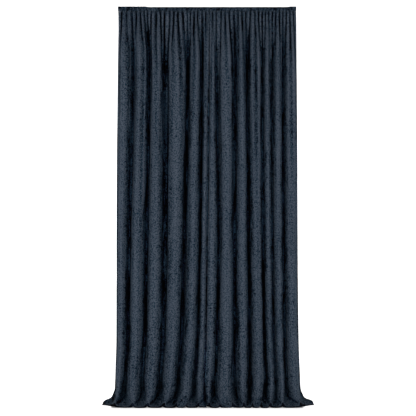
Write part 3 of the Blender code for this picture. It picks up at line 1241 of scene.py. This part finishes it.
@dataclass(frozen=True)
class RodPocket:
    """The turned-over heading of one drape, sewn down as an open sleeve around the rod line."""

    drape: Drape
    sizes: HangingSizes = HangingSizes()
    thickness: float = 0.0016
    sides: int = 40
    steps_a_gather: int = 10
    pucker: float = 0.0011
    pucker_at_top: float = 0.25
    pucker_middle: float = 0.5
    wander: float = 0.18
    wander_length: float = 0.03
    wander_turn: float = 1.2
    fine_pucker: float = 0.0006
    fine_length: float = 0.0065
    fine_turn: float = 0.8
    calm_power: int = 6
    sway_power: float = 3.0
    lower_fullness: float = 0.62
    end_rise: float = 0.004
    end_rise_over: float = 0.030
    covers_rim: float = 0.00053
    covers_rim_within: float = 0.08
    cloth_around: float = 0.094
    cloth_from: float = 0.2
    # Painted light on the sleeve's front and painted shade on its top.
    painted_front_light: float = 0.55
    painted_top_shade: float = 0.25
    seed: float = 21.0

    @property
    def name(self) -> str:
        """The piece's name."""
        return f"rod_pocket_cloth_{self.drape.side.value}"

    @property
    def hanging(self) -> HangingCloth:
        """The shape that the cloth under the sleeve hangs in."""
        return HangingCloth(self.drape, self.sizes)

    def places(self) -> Array:
        """Where the sleeve's rings of points stand.

        Returns:
            Their places across the drape, counted in folds.
        """
        at = self.hanging.dips()[0]
        steps = np.arange(self.steps_a_gather) / self.steps_a_gather
        rings = [mix(before, after, steps) for before, after in zip(at, at[1:])]
        return np.concatenate([*rings, at[-1:]])

    def puffed(self, x: Array, turn: Array, lower: Array, gather_share: Array) -> Array:
        """How far the sleeve's cloth puffs out between the gathers.

        Args:
            x: each ring's place along the rod line, as a column.
            turn: each side's angle around the sleeve, as a row.
            lower: how near each side lies to the seam, as a row.
            gather_share: each ring's share of the way across its gather, as a column.

        Returns:
            The distance for each point.
        """
        wander = self.wander * ripples(x / self.wander_length, turn * self.wander_turn, self.seed)
        wave = crest(gather_share + wander) - self.pucker_middle
        puff = -self.pucker * (self.pucker_at_top + lower) * wave
        puff = puff + self.fine_pucker * ripples(x / self.fine_length, turn * self.fine_turn, self.seed + 2.0)
        return puff * (1.0 - lower**self.calm_power)

    def middle(self) -> Array:
        """The middle of the sleeve's cloth.

        Returns:
            Its points, with a row for each ring.
        """
        sizes, outer = self.sizes, self.drape.side.outer
        places = self.places()
        seam = self.hanging.hung_points(places, np.zeros(1))[0]
        near_join = self.hanging.near_end(places, -outer, self.covers_rim_within)
        x = (seam[:, 0] - outer * self.covers_rim * near_join)[:, None]
        turn = (TURN * np.arange(self.sides) / self.sides)[None, :]
        lower = crest(turn / TURN)
        puff = self.puffed(x, turn, lower, self.hanging.gather_at(places)[0][:, None])

        radius = (sizes.pocket_depth - self.thickness) / 2.0 + puff
        rise = self.end_rise * eased((x - self.drape.rise_from) * outer / self.end_rise_over)
        fullness = np.abs(np.sin(turn)) ** mix(1.0, self.lower_fullness, lower**2)
        y = radius * np.sign(np.sin(turn)) * fullness + seam[:, 1:2] * lower**self.sway_power
        height = (sizes.pocket_height - self.thickness) / 2.0 + np.minimum(puff, 0.0)
        z = rise * (1.0 - lower) - height * np.cos(turn)
        return np.stack(np.broadcast_arrays(x, y, z), 2)

    def build(self) -> bpy.types.Object:
        """Builds the sleeve's closed mesh.

        Returns:
            The piece.
        """
        points = self.middle()
        closed = np.concatenate([points[:, -1:], points, points[:, :1]], 1)
        normals = room_normals(closed)[:, 1:-1]
        outward = points - points.mean(1, keepdims=True)
        normals = normals * np.sign((normals * outward).sum(2, keepdims=True))
        half = normals * self.thickness / 2.0
        around = np.linspace(self.cloth_from, self.cloth_from + self.cloth_around, self.sides)[None, :]
        along = np.linspace(0.0, CLOTH_WIDTH, len(points))[:, None]
        cloth = np.stack(np.broadcast_arrays(along, around), 2)
        # Painted shade: the sleeve's top is darker than its front, as if lit from the front.
        above = np.maximum(points[..., 2], 0.0) / (self.sizes.pocket_height / 2.0)
        painted_light = np.clip(self.painted_front_light - self.painted_top_shade * above, 0.0, 1.0)

        sleeve = ClothMesh(self.name)
        grids = [sleeve.add_points(face, cloth, painted_light) for face in (points + half, points - half)]
        wrapped = [np.concatenate([grid, grid[:, :1]], 1) for grid in grids]
        sleeve.add_grid(wrapped[0], 0, True, FRONT_ROOM)
        sleeve.add_grid(wrapped[1], 1, False, BACK_ROOM)
        for ring, turned, room in zip((0, -1), (False, True), RIM_ROOMS):
            sleeve.add_grid(np.stack([grid[ring] for grid in wrapped]), 0, turned, room)
        return sleeve.build()


@dataclass(frozen=True)
class Stitching:
    """The stitches that show on one panel: under its pocket, down its side hems, along its bottom hem."""

    panel: VelvetPanel
    pitch: float = 0.005
    length: float = 0.0036
    radius: float = 0.00042
    sunk: float = 0.00012
    below_seam: float = 0.003
    from_edges: float = 0.04
    slope_reach: float = 0.4
    sphere_sides: int = 6
    sphere_rings: int = 4

    def one_stitch(self) -> tuple[Array, Array]:
        """Models one stitch along X.

        Returns:
            Its points, and its faces as triangles.
        """
        bpy.ops.object.select_all(action="DESELECT")
        bpy.ops.mesh.primitive_uv_sphere_add(
            segments=self.sphere_sides, ring_count=self.sphere_rings, radius=self.radius
        )
        stitch = bpy.context.object
        stitch.rotation_euler = (0.0, math.pi / 2.0, 0.0)
        bpy.ops.object.transform_apply(location=True, rotation=True, scale=True)
        bpy.ops.object.mode_set(mode="EDIT")
        bpy.ops.mesh.select_all(action="SELECT")
        bpy.ops.mesh.quads_convert_to_tris()
        bpy.ops.object.mode_set(mode="OBJECT")
        points = np.array([tuple(vertex.co) for vertex in stitch.data.vertices])
        faces = np.array([tuple(face.vertices) for face in stitch.data.polygons])
        bpy.data.objects.remove(stitch)
        ends = np.sign(np.round(points[:, 0], MICROMETRE_DECIMALS))
        points[:, 0] += ends * (self.length / 2.0 - self.radius)
        return points, faces

    def lines(self, last: float) -> Iterator[tuple[Array, Array]]:
        """The rows of stitches.

        Args:
            last: how far down the flat cloth its bottom edge lies.

        Yields:
            The places of a row's stitches across and down the flat cloth.
        """
        panel = self.panel
        across = np.arange(self.pitch, CLOTH_WIDTH - self.pitch, self.pitch)
        down = np.arange(self.from_edges, last - self.from_edges, self.pitch)
        yield across, np.full(len(across), self.below_seam)
        yield across, np.full(len(across), last - panel.bottom_hem)
        for side in (panel.side_hem, CLOTH_WIDTH - panel.side_hem):
            yield np.full(len(down), side), down

    def build(self, front: Array, normals: Array, across: Array, down: Array) -> bpy.types.Object:
        """Copies the stitch along every row.

        Args:
            front: the grid of points of the panel's front face.
            normals: the directions that face the room at each of them.
            across: the columns' places across the flat cloth.
            down: the rows' places down the flat cloth.

        Returns:
            The piece that holds all stitches of the panel.
        """
        columns, rows = np.arange(len(across)), np.arange(len(down))

        def on_cloth(grid: Array, u: Array, v: Array) -> Array:
            """Reads a grid between its points.

            Args:
                grid: the grid.
                u: places across the flat cloth.
                v: places down the flat cloth.

            Returns:
                The grid's values there.
            """
            column, row = np.interp(u, across, columns), np.interp(v, down, rows)
            left = np.minimum(column.astype(int), len(across) - 2)
            top = np.minimum(row.astype(int), len(down) - 2)
            right_share, low_share = (column - left)[:, None], (row - top)[:, None]
            upper = mix(grid[top, left], grid[top, left + 1], right_share)
            lower = mix(grid[top + 1, left], grid[top + 1, left + 1], right_share)
            return mix(upper, lower, low_share)

        stitch, faces = self.one_stitch()
        verts = []
        reach = self.slope_reach * self.pitch
        for u, v in self.lines(down[-1]):
            du, dv = (reach, 0.0) if np.ptp(u) > 0.0 else (0.0, reach)
            along = on_cloth(front, u + du, v + dv) - on_cloth(front, u - du, v - dv)
            along = along / np.linalg.norm(along, axis=1, keepdims=True)
            away = np.cross(along, np.cross(on_cloth(normals, u, v), along))
            away = away / np.linalg.norm(away, axis=1, keepdims=True)
            turned = np.stack([along, np.cross(away, along), away], 1)
            middle = on_cloth(front, u, v) + away * (self.radius - self.sunk)
            verts.append((middle[:, None, :] + stitch @ turned).reshape(-1, 3))
        verts = np.concatenate(verts)
        count = len(verts) // len(stitch)
        copies = faces[None] + (np.arange(count) * len(stitch))[:, None, None]
        mesh = bpy.data.meshes.new(f"stitches_{self.panel.drape.side.value}")
        mesh.from_pydata(verts.tolist(), [], copies.reshape(-1, 3).tolist())
        return shown(mesh)


class Value:
    """One socket of a material that takes part in Python arithmetic."""

    def __init__(self, recipe: "Recipe", socket: bpy.types.NodeSocket) -> None:
        """Wraps an output socket of a recipe's node tree."""
        self.recipe = recipe
        self.socket = socket

    def __add__(self, other: "Value | float") -> "Value":
        """Adds a value or number."""
        return self.recipe.maths("ADD", self, other)

    def __radd__(self, other: float) -> "Value":
        """Adds this value to a number."""
        return self.recipe.maths("ADD", other, self)

    def __sub__(self, other: "Value | float") -> "Value":
        """Takes a value or number away."""
        return self.recipe.maths("SUBTRACT", self, other)

    def __rsub__(self, other: float) -> "Value":
        """Takes this value away from a number."""
        return self.recipe.maths("SUBTRACT", other, self)

    def __mul__(self, other: "Value | float") -> "Value":
        """Multiplies by a value or number."""
        return self.recipe.maths("MULTIPLY", self, other)

    def __rmul__(self, other: float) -> "Value":
        """Multiplies a number by this value."""
        return self.recipe.maths("MULTIPLY", other, self)

    def clamped(self) -> "Value":
        """The value held between 0 and 1."""
        return self.recipe.maths("ADD", self, 0.0, use_clamp=True)

    def wave(self) -> "Value":
        """The value's sine."""
        return self.recipe.maths("SINE", self, 0.0)


@dataclass(frozen=True)
class Grain:
    """A noise pattern on the flat cloth: how many blots to a metre across and down, and how rough it is."""

    across: float
    down: float
    detail: float
    roughness: float
    distortion: float = 0.0


class Recipe:
    """A material's node tree, built by short calls."""

    def __init__(self, name: str) -> None:
        """Starts a material with one Principled shader.

        Args:
            name: the material's name.
        """
        self.material = bpy.data.materials.new(name)
        self.material.use_nodes = True
        self.tree = self.material.node_tree
        self.shader = self.tree.nodes["Principled BSDF"]

    def put(self, socket: bpy.types.NodeSocket, given: Any) -> None:
        """Links a wrapped value to a socket, or sets a plain one on it.

        Args:
            socket: an input socket.
            given: the wrapped value or the plain one.
        """
        if isinstance(given, Value):
            self.tree.links.new(given.socket, socket)
        else:
            socket.default_value = given

    def node(
        self,
        kind: str,
        output: str | int,
        settings: Mapping[str, Any] | None = None,
        sockets: Mapping[str | int, Any] | None = None,
    ) -> Value:
        """Adds any one node.

        Args:
            kind: the node's type.
            output: the name or number of the output that is wanted.
            settings: the node's own settings; stops sets a ramp's stops.
            sockets: the values or links of its input sockets.

        Returns:
            The wanted output.
        """
        node = self.tree.nodes.new(kind)
        for name, setting in (settings or {}).items():
            if name == "stops":
                self.set_stops(node.color_ramp, setting)
            else:
                setattr(node, name, setting)
        for name, given in (sockets or {}).items():
            self.put(node.inputs[name], given)
        return Value(self, node.outputs[output])

    @staticmethod
    def set_stops(ramp: bpy.types.ColorRamp, stops: Sequence[tuple[float, Colour]]) -> None:
        """Sets a ramp's stops.

        Args:
            ramp: the ramp.
            stops: its stops, each a place and a colour.
        """
        while len(ramp.elements) < len(stops):
            ramp.elements.new(1.0)
        for element, (place, colour) in zip(ramp.elements, stops):
            element.position = place
            element.color = (*colour, 1.0)

    def maths(self, operation: str, first: Any, second: Any, use_clamp: bool = False) -> Value:
        """Adds one Math node."""
        settings = {"operation": operation, "use_clamp": use_clamp}
        return self.node("ShaderNodeMath", "Value", settings, {0: first, 1: second})

    def cloth_place(self, across: float, down: float) -> Value:
        """The place on the flat cloth, with so many units to a metre across it and down it."""
        place = self.node("ShaderNodeUVMap", "UV", {"uv_map": "cloth"})
        return self.node("ShaderNodeMapping", "Vector", None, {"Vector": place, "Scale": (across, down, 1.0)})

    def down_cloth(self) -> Value:
        """How far down the cloth a point lies, from 0 at the top to about 1 at the bottom hem."""
        return self.part(self.cloth_place(1.0, -1.0 / CLOTH_LENGTH), "Y")

    def attribute(self, name: str) -> Value:
        """Reads a number that the mesh's points carry."""
        return self.node("ShaderNodeAttribute", "Fac", {"attribute_name": name})

    def part(self, place: Value, axis: str) -> Value:
        """One part of a place, named by its axis."""
        return self.node("ShaderNodeSeparateXYZ", axis, None, {0: place})

    def scaled(self, given: Value, by: Value | float) -> Value:
        """A place or a colour with all its parts multiplied."""
        return self.node("ShaderNodeVectorMath", "Vector", {"operation": "SCALE"}, {0: given, "Scale": by})

    def colour(self, given: Value, stops: Sequence[tuple[float, Colour]]) -> Value:
        """Reads a colour off a ramp through pairs of places and colours."""
        return self.node("ShaderNodeValToRGB", "Color", {"stops": stops}, {"Fac": given})

    def steps(self, given: Value, stops: Curve) -> Value:
        """Reads a value off a curve through pairs of places and heights."""
        return self.colour(given, tuple((place, (height, height, height)) for place, height in stops))

    def noise(self, place: Value, detail: float, roughness: float, distortion: float = 0.0) -> Value:
        """Adds a noise pattern with one unit to a blot."""
        sockets = {"Vector": place, "Scale": 1.0, "Detail": detail, "Roughness": roughness}
        return self.node("ShaderNodeTexNoise", 0, None, {**sockets, "Distortion": distortion})

    def grain(self, grain: Grain) -> Value:
        """Adds a noise pattern that lies on the flat cloth."""
        place = self.cloth_place(grain.across, grain.down)
        return self.noise(place, grain.detail, grain.roughness, grain.distortion)

    def bump(self, strength: float, distance: float, height: Value, onto: Value | None = None) -> Value:
        """Adds a bump.

        Args:
            strength: how much of the bump shows.
            distance: how high it stands, in metres.
            height: its pattern.
            onto: the bump that it lies on, or None.

        Returns:
            The bumped normal.
        """
        sockets = {"Strength": strength, "Distance": distance, "Height": height}
        if onto is not None:
            sockets["Normal"] = onto
        return self.node("ShaderNodeBump", "Normal", None, sockets)

    def finish(self, **sockets: Any) -> bpy.types.Material:
        """Sets the shader's sockets.

        Args:
            **sockets: the values or links, by the sockets' names with _ for each space.

        Returns:
            The finished material.
        """
        for name, given in sockets.items():
            self.put(self.shader.inputs[name.replace("_", " ")], given)
        return self.material


@dataclass(frozen=True)
class CrushedVelvet:
    """The pile side: dark slate navy velvet, crushed into lighter and darker specks and blots, with painted
    shade in the valleys and painted light on the fronts.
    """

    name: str = "crushed velvet pile"
    # The ramp from black to bright holds painted shade and painted light: lit and shaded copies of the pile's
    # colour, picked by the painted tone.
    black: Colour = (0.0002, 0.0002, 0.0006)
    deep: Colour = (0.0066, 0.0072, 0.0200)
    shaded: Colour = (0.0055, 0.0205, 0.0340)
    dull: Colour = (0.0160, 0.0300, 0.0445)
    lit: Colour = (0.0295, 0.0415, 0.0605)
    bright: Colour = (0.0570, 0.0710, 0.0945)
    colour_places: tuple[float, ...] = (0.04, 0.16, 0.30, 0.46, 0.64, 0.98)
    specks: Grain = Grain(50.0, 40.0, 4.0, 0.62, 1.0)
    flecks: Grain = Grain(118.0, 94.0, 3.0, 0.6, 0.6)
    blots: Grain = Grain(10.0, 3.0, 4.0, 0.62, 0.8)
    streaks: Grain = Grain(62.0, 1.4, 2.0, 0.55)
    pile: Grain = Grain(1500.0, 1100.0, 2.0, 0.6)
    heading: Curve = ((0.0, 1.0), (0.035, 0.6), (0.065, 0.0))
    upper_part: Curve = ((0.02, 1.0), (0.22, 0.0))
    lower_part: Curve = ((0.30, 0.0), (0.85, 1.0))
    above_foot: Curve = ((0.915, 1.0), (0.940, 0.0))
    open_tones: Curve = ((0.08, 0.12), (0.17, 0.22), (0.35, 0.36), (0.43, 0.59), (0.65, 0.71), (1.0, 0.82))
    crush: Curve = ((0.37, 1.0), (0.42, 0.8), (0.46, 0.0))
    crush_in_shade: Curve = ((0.42, 1.0), (0.86, 0.0))
    pools: Curve = ((0.38, 1.0), (0.57, 0.0))
    pools_in_shade: Curve = ((0.34, 1.0), (0.62, 0.0))
    fleck_tones: Curve = ((0.36, 0.0), (0.50, 0.50), (0.64, 1.0))
    deepest: Curve = ((0.16, 1.0), (0.50, 0.0))
    upper_light: float = 0.03
    lower_shade: float = 0.025
    pool_shade: float = 0.09
    pool_tone: float = 0.29
    crush_below: float = 0.022
    crush_by_blots: float = 0.55
    crush_tone: float = 0.18
    crush_tone_in_shade: float = 0.44
    fleck_tone: float = 0.28
    fleck_tone_in_light: float = 0.94
    streak_tone: float = 0.70
    heading_shade: float = 0.17
    painted_valley_lift: float = 2.8
    speck_relief: float = 0.65
    fleck_relief: float = 0.35
    relief_strength: float = 0.45
    relief_height: float = 0.0030
    pile_strength: float = 0.35
    pile_height: float = 0.0005
    speck_gloss: float = 0.35
    sheen: float = 0.02
    sheen_roughness: float = 0.5
    sheen_tint: tuple[float, float, float, float] = (0.30, 0.42, 0.58, 1.0)
    specular: float = 0.02

    def tone(self, recipe: Recipe, painted_light: Value, specks: Value, flecks: Value) -> Value:
        """How light the pile is, with its painted light and shade.

        Args:
            recipe: the material's recipe.
            painted_light: the painted light and shade from how much of the room the point sees.
            specks: the pattern of the crush.
            flecks: the pattern of the finer grain.

        Returns:
            A place on the ramp of the pile's colours.
        """
        down, blots = recipe.down_cloth(), recipe.grain(self.blots)
        lower, pools = recipe.steps(down, self.lower_part), recipe.steps(blots, self.pools)
        # Painted light: lighter towards the top of the drape and darker towards the bottom.
        light = painted_light + recipe.steps(down, self.upper_part) * self.upper_light
        open_part = recipe.steps(light - lower * self.lower_shade - pools * self.pool_shade, self.open_tones)

        # The crushed specks are the pile's own pattern; they are painted darker where painted shade lies, and
        # the dark pools spread painted shade from the valleys up the flanks.
        crushed = specks - lower * self.crush_below + (blots - NOISE_MIDDLE) * self.crush_by_blots
        in_shade = recipe.steps(painted_light, self.crush_in_shade) * self.crush_tone_in_shade
        crushed = recipe.steps(crushed, self.crush) * (in_shade + self.crush_tone)
        pooled = pools * recipe.steps(painted_light, self.pools_in_shade) * self.pool_tone
        flecks = recipe.steps(flecks, self.fleck_tones) - NOISE_MIDDLE
        flecks = flecks * (open_part * self.fleck_tone_in_light + self.fleck_tone)
        streaks = (recipe.grain(self.streaks) - NOISE_MIDDLE) * self.streak_tone
        # Painted shade over the gathered heading at the top of the drape; the painted trough shade is taken
        # off last.
        heading = recipe.steps(down, self.heading) * self.heading_shade
        tone = open_part - crushed - pooled + flecks + streaks - heading
        return (tone - recipe.attribute("painted_trough_shade")).clamped()

    def material(self) -> bpy.types.Material:
        """Builds the material.

        Returns:
            The finished material.
        """
        recipe = Recipe(self.name)
        painted_light = recipe.attribute("openness_painted_as_shade")
        specks, flecks = recipe.grain(self.specks), recipe.grain(self.flecks)
        colours = (self.black, self.deep, self.shaded, self.dull, self.lit, self.bright)
        stops = tuple(zip(self.colour_places, colours))
        colour = recipe.colour(self.tone(recipe, painted_light, specks, flecks), stops)
        # Painted light: the pile's colour is lifted in the deepest painted valleys above the foot, so its
        # specks show in the dark.
        painted_valley_lift_share = recipe.steps(painted_light, self.deepest) * recipe.steps(recipe.down_cloth(), self.above_foot)
        height = specks * self.speck_relief + flecks * self.fleck_relief
        relief = recipe.bump(self.relief_strength, self.relief_height, height)
        return recipe.finish(
            Base_Color=recipe.scaled(colour, painted_valley_lift_share * self.painted_valley_lift + 1.0),
            Roughness=(1.0 - specks * self.speck_gloss).clamped(),
            Normal=recipe.bump(self.pile_strength, self.pile_height, recipe.grain(self.pile), relief),
            Sheen_Weight=self.sheen,
            Sheen_Roughness=self.sheen_roughness,
            Sheen_Tint=self.sheen_tint,
            Specular_IOR_Level=self.specular,
        )


@dataclass(frozen=True)
class BackingCloth:
    """The back of the velvet: a close plain weave, duller and smoother than the pile."""

    name: str = "velvet backing weave"
    yarn: Colour = (0.016, 0.023, 0.032)
    gap: Colour = (0.006, 0.009, 0.014)
    yarn_place: float = 0.75
    gap_place: float = 0.15
    yarns_a_metre: float = 900.0
    clouds: Grain = Grain(30.0, 12.0, 3.0, 0.6)
    weave_tone: float = 0.6
    cloud_tone: float = 0.5
    relief_strength: float = 0.4
    relief_height: float = 0.0004
    roughness: float = 0.95
    cloud_gloss: float = 0.2
    specular: float = 0.15

    def material(self) -> bpy.types.Material:
        """Builds the material.

        Returns:
            The finished material.
        """
        recipe = Recipe(self.name)
        turns = TURN * self.yarns_a_metre / 2.0
        place = recipe.cloth_place(turns, turns)
        weave = recipe.part(place, "X").wave() * recipe.part(place, "Y").wave() * 0.5 + 0.5
        clouds = recipe.grain(self.clouds)
        tone = (weave * self.weave_tone + clouds * self.cloud_tone).clamped()
        return recipe.finish(
            Base_Color=recipe.colour(tone, ((self.gap_place, self.gap), (self.yarn_place, self.yarn))),
            Roughness=(self.roughness - clouds * self.cloud_gloss).clamped(),
            Normal=recipe.bump(self.relief_strength, self.relief_height, weave),
            Specular_IOR_Level=self.specular,
        )


@dataclass(frozen=True)
class Thread:
    """The sewing thread, a little lighter than the pile and duller where it is twisted."""

    name: str = "twisted sewing thread"
    dark: Colour = (0.0120, 0.0180, 0.0260)
    light: Colour = (0.0340, 0.0450, 0.0620)
    dark_place: float = 0.35
    light_place: float = 0.65
    fibres_a_metre: float = 1400.0
    fibre_detail: float = 2.0
    fibre_roughness: float = 0.5
    roughness: float = 0.45
    twist_roughness: float = 0.4
    specular: float = 0.3

    def material(self) -> bpy.types.Material:
        """Builds the material.

        Returns:
            The finished material.
        """
        recipe = Recipe(self.name)
        place = recipe.scaled(recipe.node("ShaderNodeTexCoord", "Object"), self.fibres_a_metre)
        twist = recipe.noise(place, self.fibre_detail, self.fibre_roughness)
        return recipe.finish(
            Base_Color=recipe.colour(twist, ((self.dark_place, self.dark), (self.light_place, self.light))),
            Roughness=(self.roughness + twist * self.twist_roughness).clamped(),
            Specular_IOR_Level=self.specular,
        )


@dataclass(frozen=True)
class StudioPaper:
    """The pale floor and backdrop, which glow a little away from the drapes."""

    name: str = "pale studio paper"
    plain: Colour = (0.86, 0.86, 0.86)
    paler: float = 1.03
    plain_place: float = 0.3
    paler_place: float = 0.7
    cloud_detail: float = 2.0
    cloud_roughness: float = 0.5
    roughness: float = 0.9
    glow: float = 0.85
    plain_half_width: float = 0.69
    plain_half_depth: float = 0.100
    glow_grows_over: float = 0.014

    def material(self) -> bpy.types.Material:
        """Builds the material.

        Returns:
            The finished material.
        """
        recipe = Recipe(self.name)
        place = recipe.node("ShaderNodeTexCoord", "Object")
        clouds = recipe.noise(place, self.cloud_detail, self.cloud_roughness)
        paler = tuple(part * self.paler for part in self.plain)
        aside = recipe.maths("ABSOLUTE", recipe.part(place, "X"), 0.0) - self.plain_half_width
        before = recipe.maths("ABSOLUTE", recipe.part(place, "Y"), 0.0) - self.plain_half_depth
        away = recipe.maths("MAXIMUM", aside, before) * (1.0 / self.glow_grows_over)
        return recipe.finish(
            Base_Color=recipe.colour(clouds, ((self.plain_place, self.plain), (self.paler_place, paler))),
            Roughness=self.roughness,
            Emission_Color=away.clamped(),
            Emission_Strength=self.glow,
        )


@dataclass(frozen=True)
class SoftBox:
    """A rectangular soft light that faces the drapes."""

    name: str
    place: tuple[float, float, float]
    size: tuple[float, float]
    power: float


@dataclass(frozen=True)
class Studio:
    """The floor, the backdrop, the lights and the camera."""

    floor: float
    middle: float = -1.468
    floor_gap: float = 0.0006
    backdrop_y: float = 9.0
    paper_size: float = 30.0
    lights: tuple[SoftBox, ...] = (
        SoftBox("softbox_left", (-3.3, -3.0, -1.45), (1.1, 3.4), 70.0),
        SoftBox("softbox_right", (3.3, -3.0, -1.45), (1.1, 3.4), 54.0),
        SoftBox("front_fill", (0.0, -5.6, -0.4), (2.0, 2.0), 26.0),
    )
    surround_strength: float = 0.24
    camera_away: float = 5.0
    camera_x: float = 0.0055
    lens: float = 58.62
    sensor_width: float = 36.0

    def build(self) -> None:
        """Builds the whole stage."""
        paper = StudioPaper().material()
        self.plane("pale_floor", (0.0, 0.0, self.floor - self.floor_gap), (0.0, 0.0, 0.0), paper)
        self.plane("pale_backdrop", (0.0, self.backdrop_y, 0.0), (math.pi / 2.0, 0.0, 0.0), paper)
        for box in self.lights:
            self.softbox(box)
        self.surround()
        self.camera()

    def plane(
        self, name: str, place: Sequence[float], turn: Sequence[float], paper: bpy.types.Material
    ) -> None:
        """Adds one large sheet of studio paper.

        Args:
            name: the sheet's name.
            place: its middle.
            turn: its rotation.
            paper: its material.
        """
        bpy.ops.object.select_all(action="DESELECT")
        bpy.ops.mesh.primitive_plane_add(size=self.paper_size, location=place, rotation=turn)
        sheet = bpy.context.object
        sheet.name = name
        bpy.ops.object.transform_apply(location=True, rotation=True, scale=True)
        sheet.data.materials.append(paper)
        sheet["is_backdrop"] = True

    def softbox(self, box: SoftBox) -> None:
        """Adds one soft light that faces the drapes.

        Args:
            box: the light's place, size and power.
        """
        light = bpy.data.lights.new(box.name, "AREA")
        light.shape = "RECTANGLE"
        light.size, light.size_y = box.size
        light.energy = box.power
        lamp = bpy.data.objects.new(box.name, light)
        bpy.context.scene.collection.objects.link(lamp)
        lamp.location = box.place
        away = Vector(box.place) - Vector((0.0, 0.0, self.middle))
        lamp.rotation_euler = away.to_track_quat("Z", "Y").to_euler()
        lamp.visible_camera = False

    def surround(self) -> None:
        """Sets the pale light that comes from all round."""
        world = bpy.data.worlds.new("pale surround")
        world.use_nodes = True
        background = world.node_tree.nodes["Background"]
        background.inputs["Color"].default_value = (1.0, 1.0, 1.0, 1.0)
        background.inputs["Strength"].default_value = self.surround_strength
        bpy.context.scene.world = world
        bpy.context.scene.view_settings.view_transform = "Standard"

    def camera(self) -> None:
        """Adds the level camera in front of the drapes."""
        camera = bpy.data.cameras.new("camera")
        camera.lens = self.lens
        camera.sensor_width = self.sensor_width
        eye = bpy.data.objects.new("camera", camera)
        bpy.context.scene.collection.objects.link(eye)
        eye.location = (self.camera_x, -self.camera_away, self.middle)
        eye.rotation_euler = (math.pi / 2.0, 0.0, 0.0)
        bpy.context.scene.camera = eye


def place_piece(
    piece: bpy.types.Object, materials: Sequence[bpy.types.Material], node: str | None = None
) -> None:
    """Gives a piece its materials and its body, and hides the node that it replaces.

    Args:
        piece: the piece.
        materials: its materials in the order of its slots.
        node: the node that it replaces, or None.
    """
    for material in materials:
        piece.data.materials.append(material)
    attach(piece, BODY)
    if node:
        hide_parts(node)


def write_sizes() -> None:
    """Works out the boxes of the solids and of the dressed part as plain lists, and keeps them nowhere."""
    boxes = {"cad": CAD_BOX, "visual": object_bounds()}
    {name: [list(corner) for corner in box] for name, box in boxes.items()}


def main() -> None:
    """Builds the drapes in order, reports each piece, and sets the stage."""
    logging.basicConfig(level=logging.INFO, format="%(name)s: %(message)s")
    velvet, backing, thread = CrushedVelvet().material(), BackingCloth().material(), Thread().material()
    for drape in (LEFT, RIGHT):
        side = drape.side.value
        panel = VelvetPanel(drape)
        cloth, *grids = panel.build()
        place_piece(cloth, (velvet, backing), f"panel_{side}")
        LOG.info("%s: %d faces", cloth.name, len(cloth.data.polygons))
        sleeve = RodPocket(drape).build()
        place_piece(sleeve, (velvet, backing), f"rod_pocket_{side}")
        LOG.info("%s: %d faces", sleeve.name, len(sleeve.data.polygons))
        stitches = Stitching(panel).build(*grids)
        place_piece(stitches, (thread,))
        LOG.info("%s: %d faces", stitches.name, len(stitches.data.polygons))
    Studio(HangingSizes().floor).build()
    write_sizes()


if __name__ == "__main__":
    main()
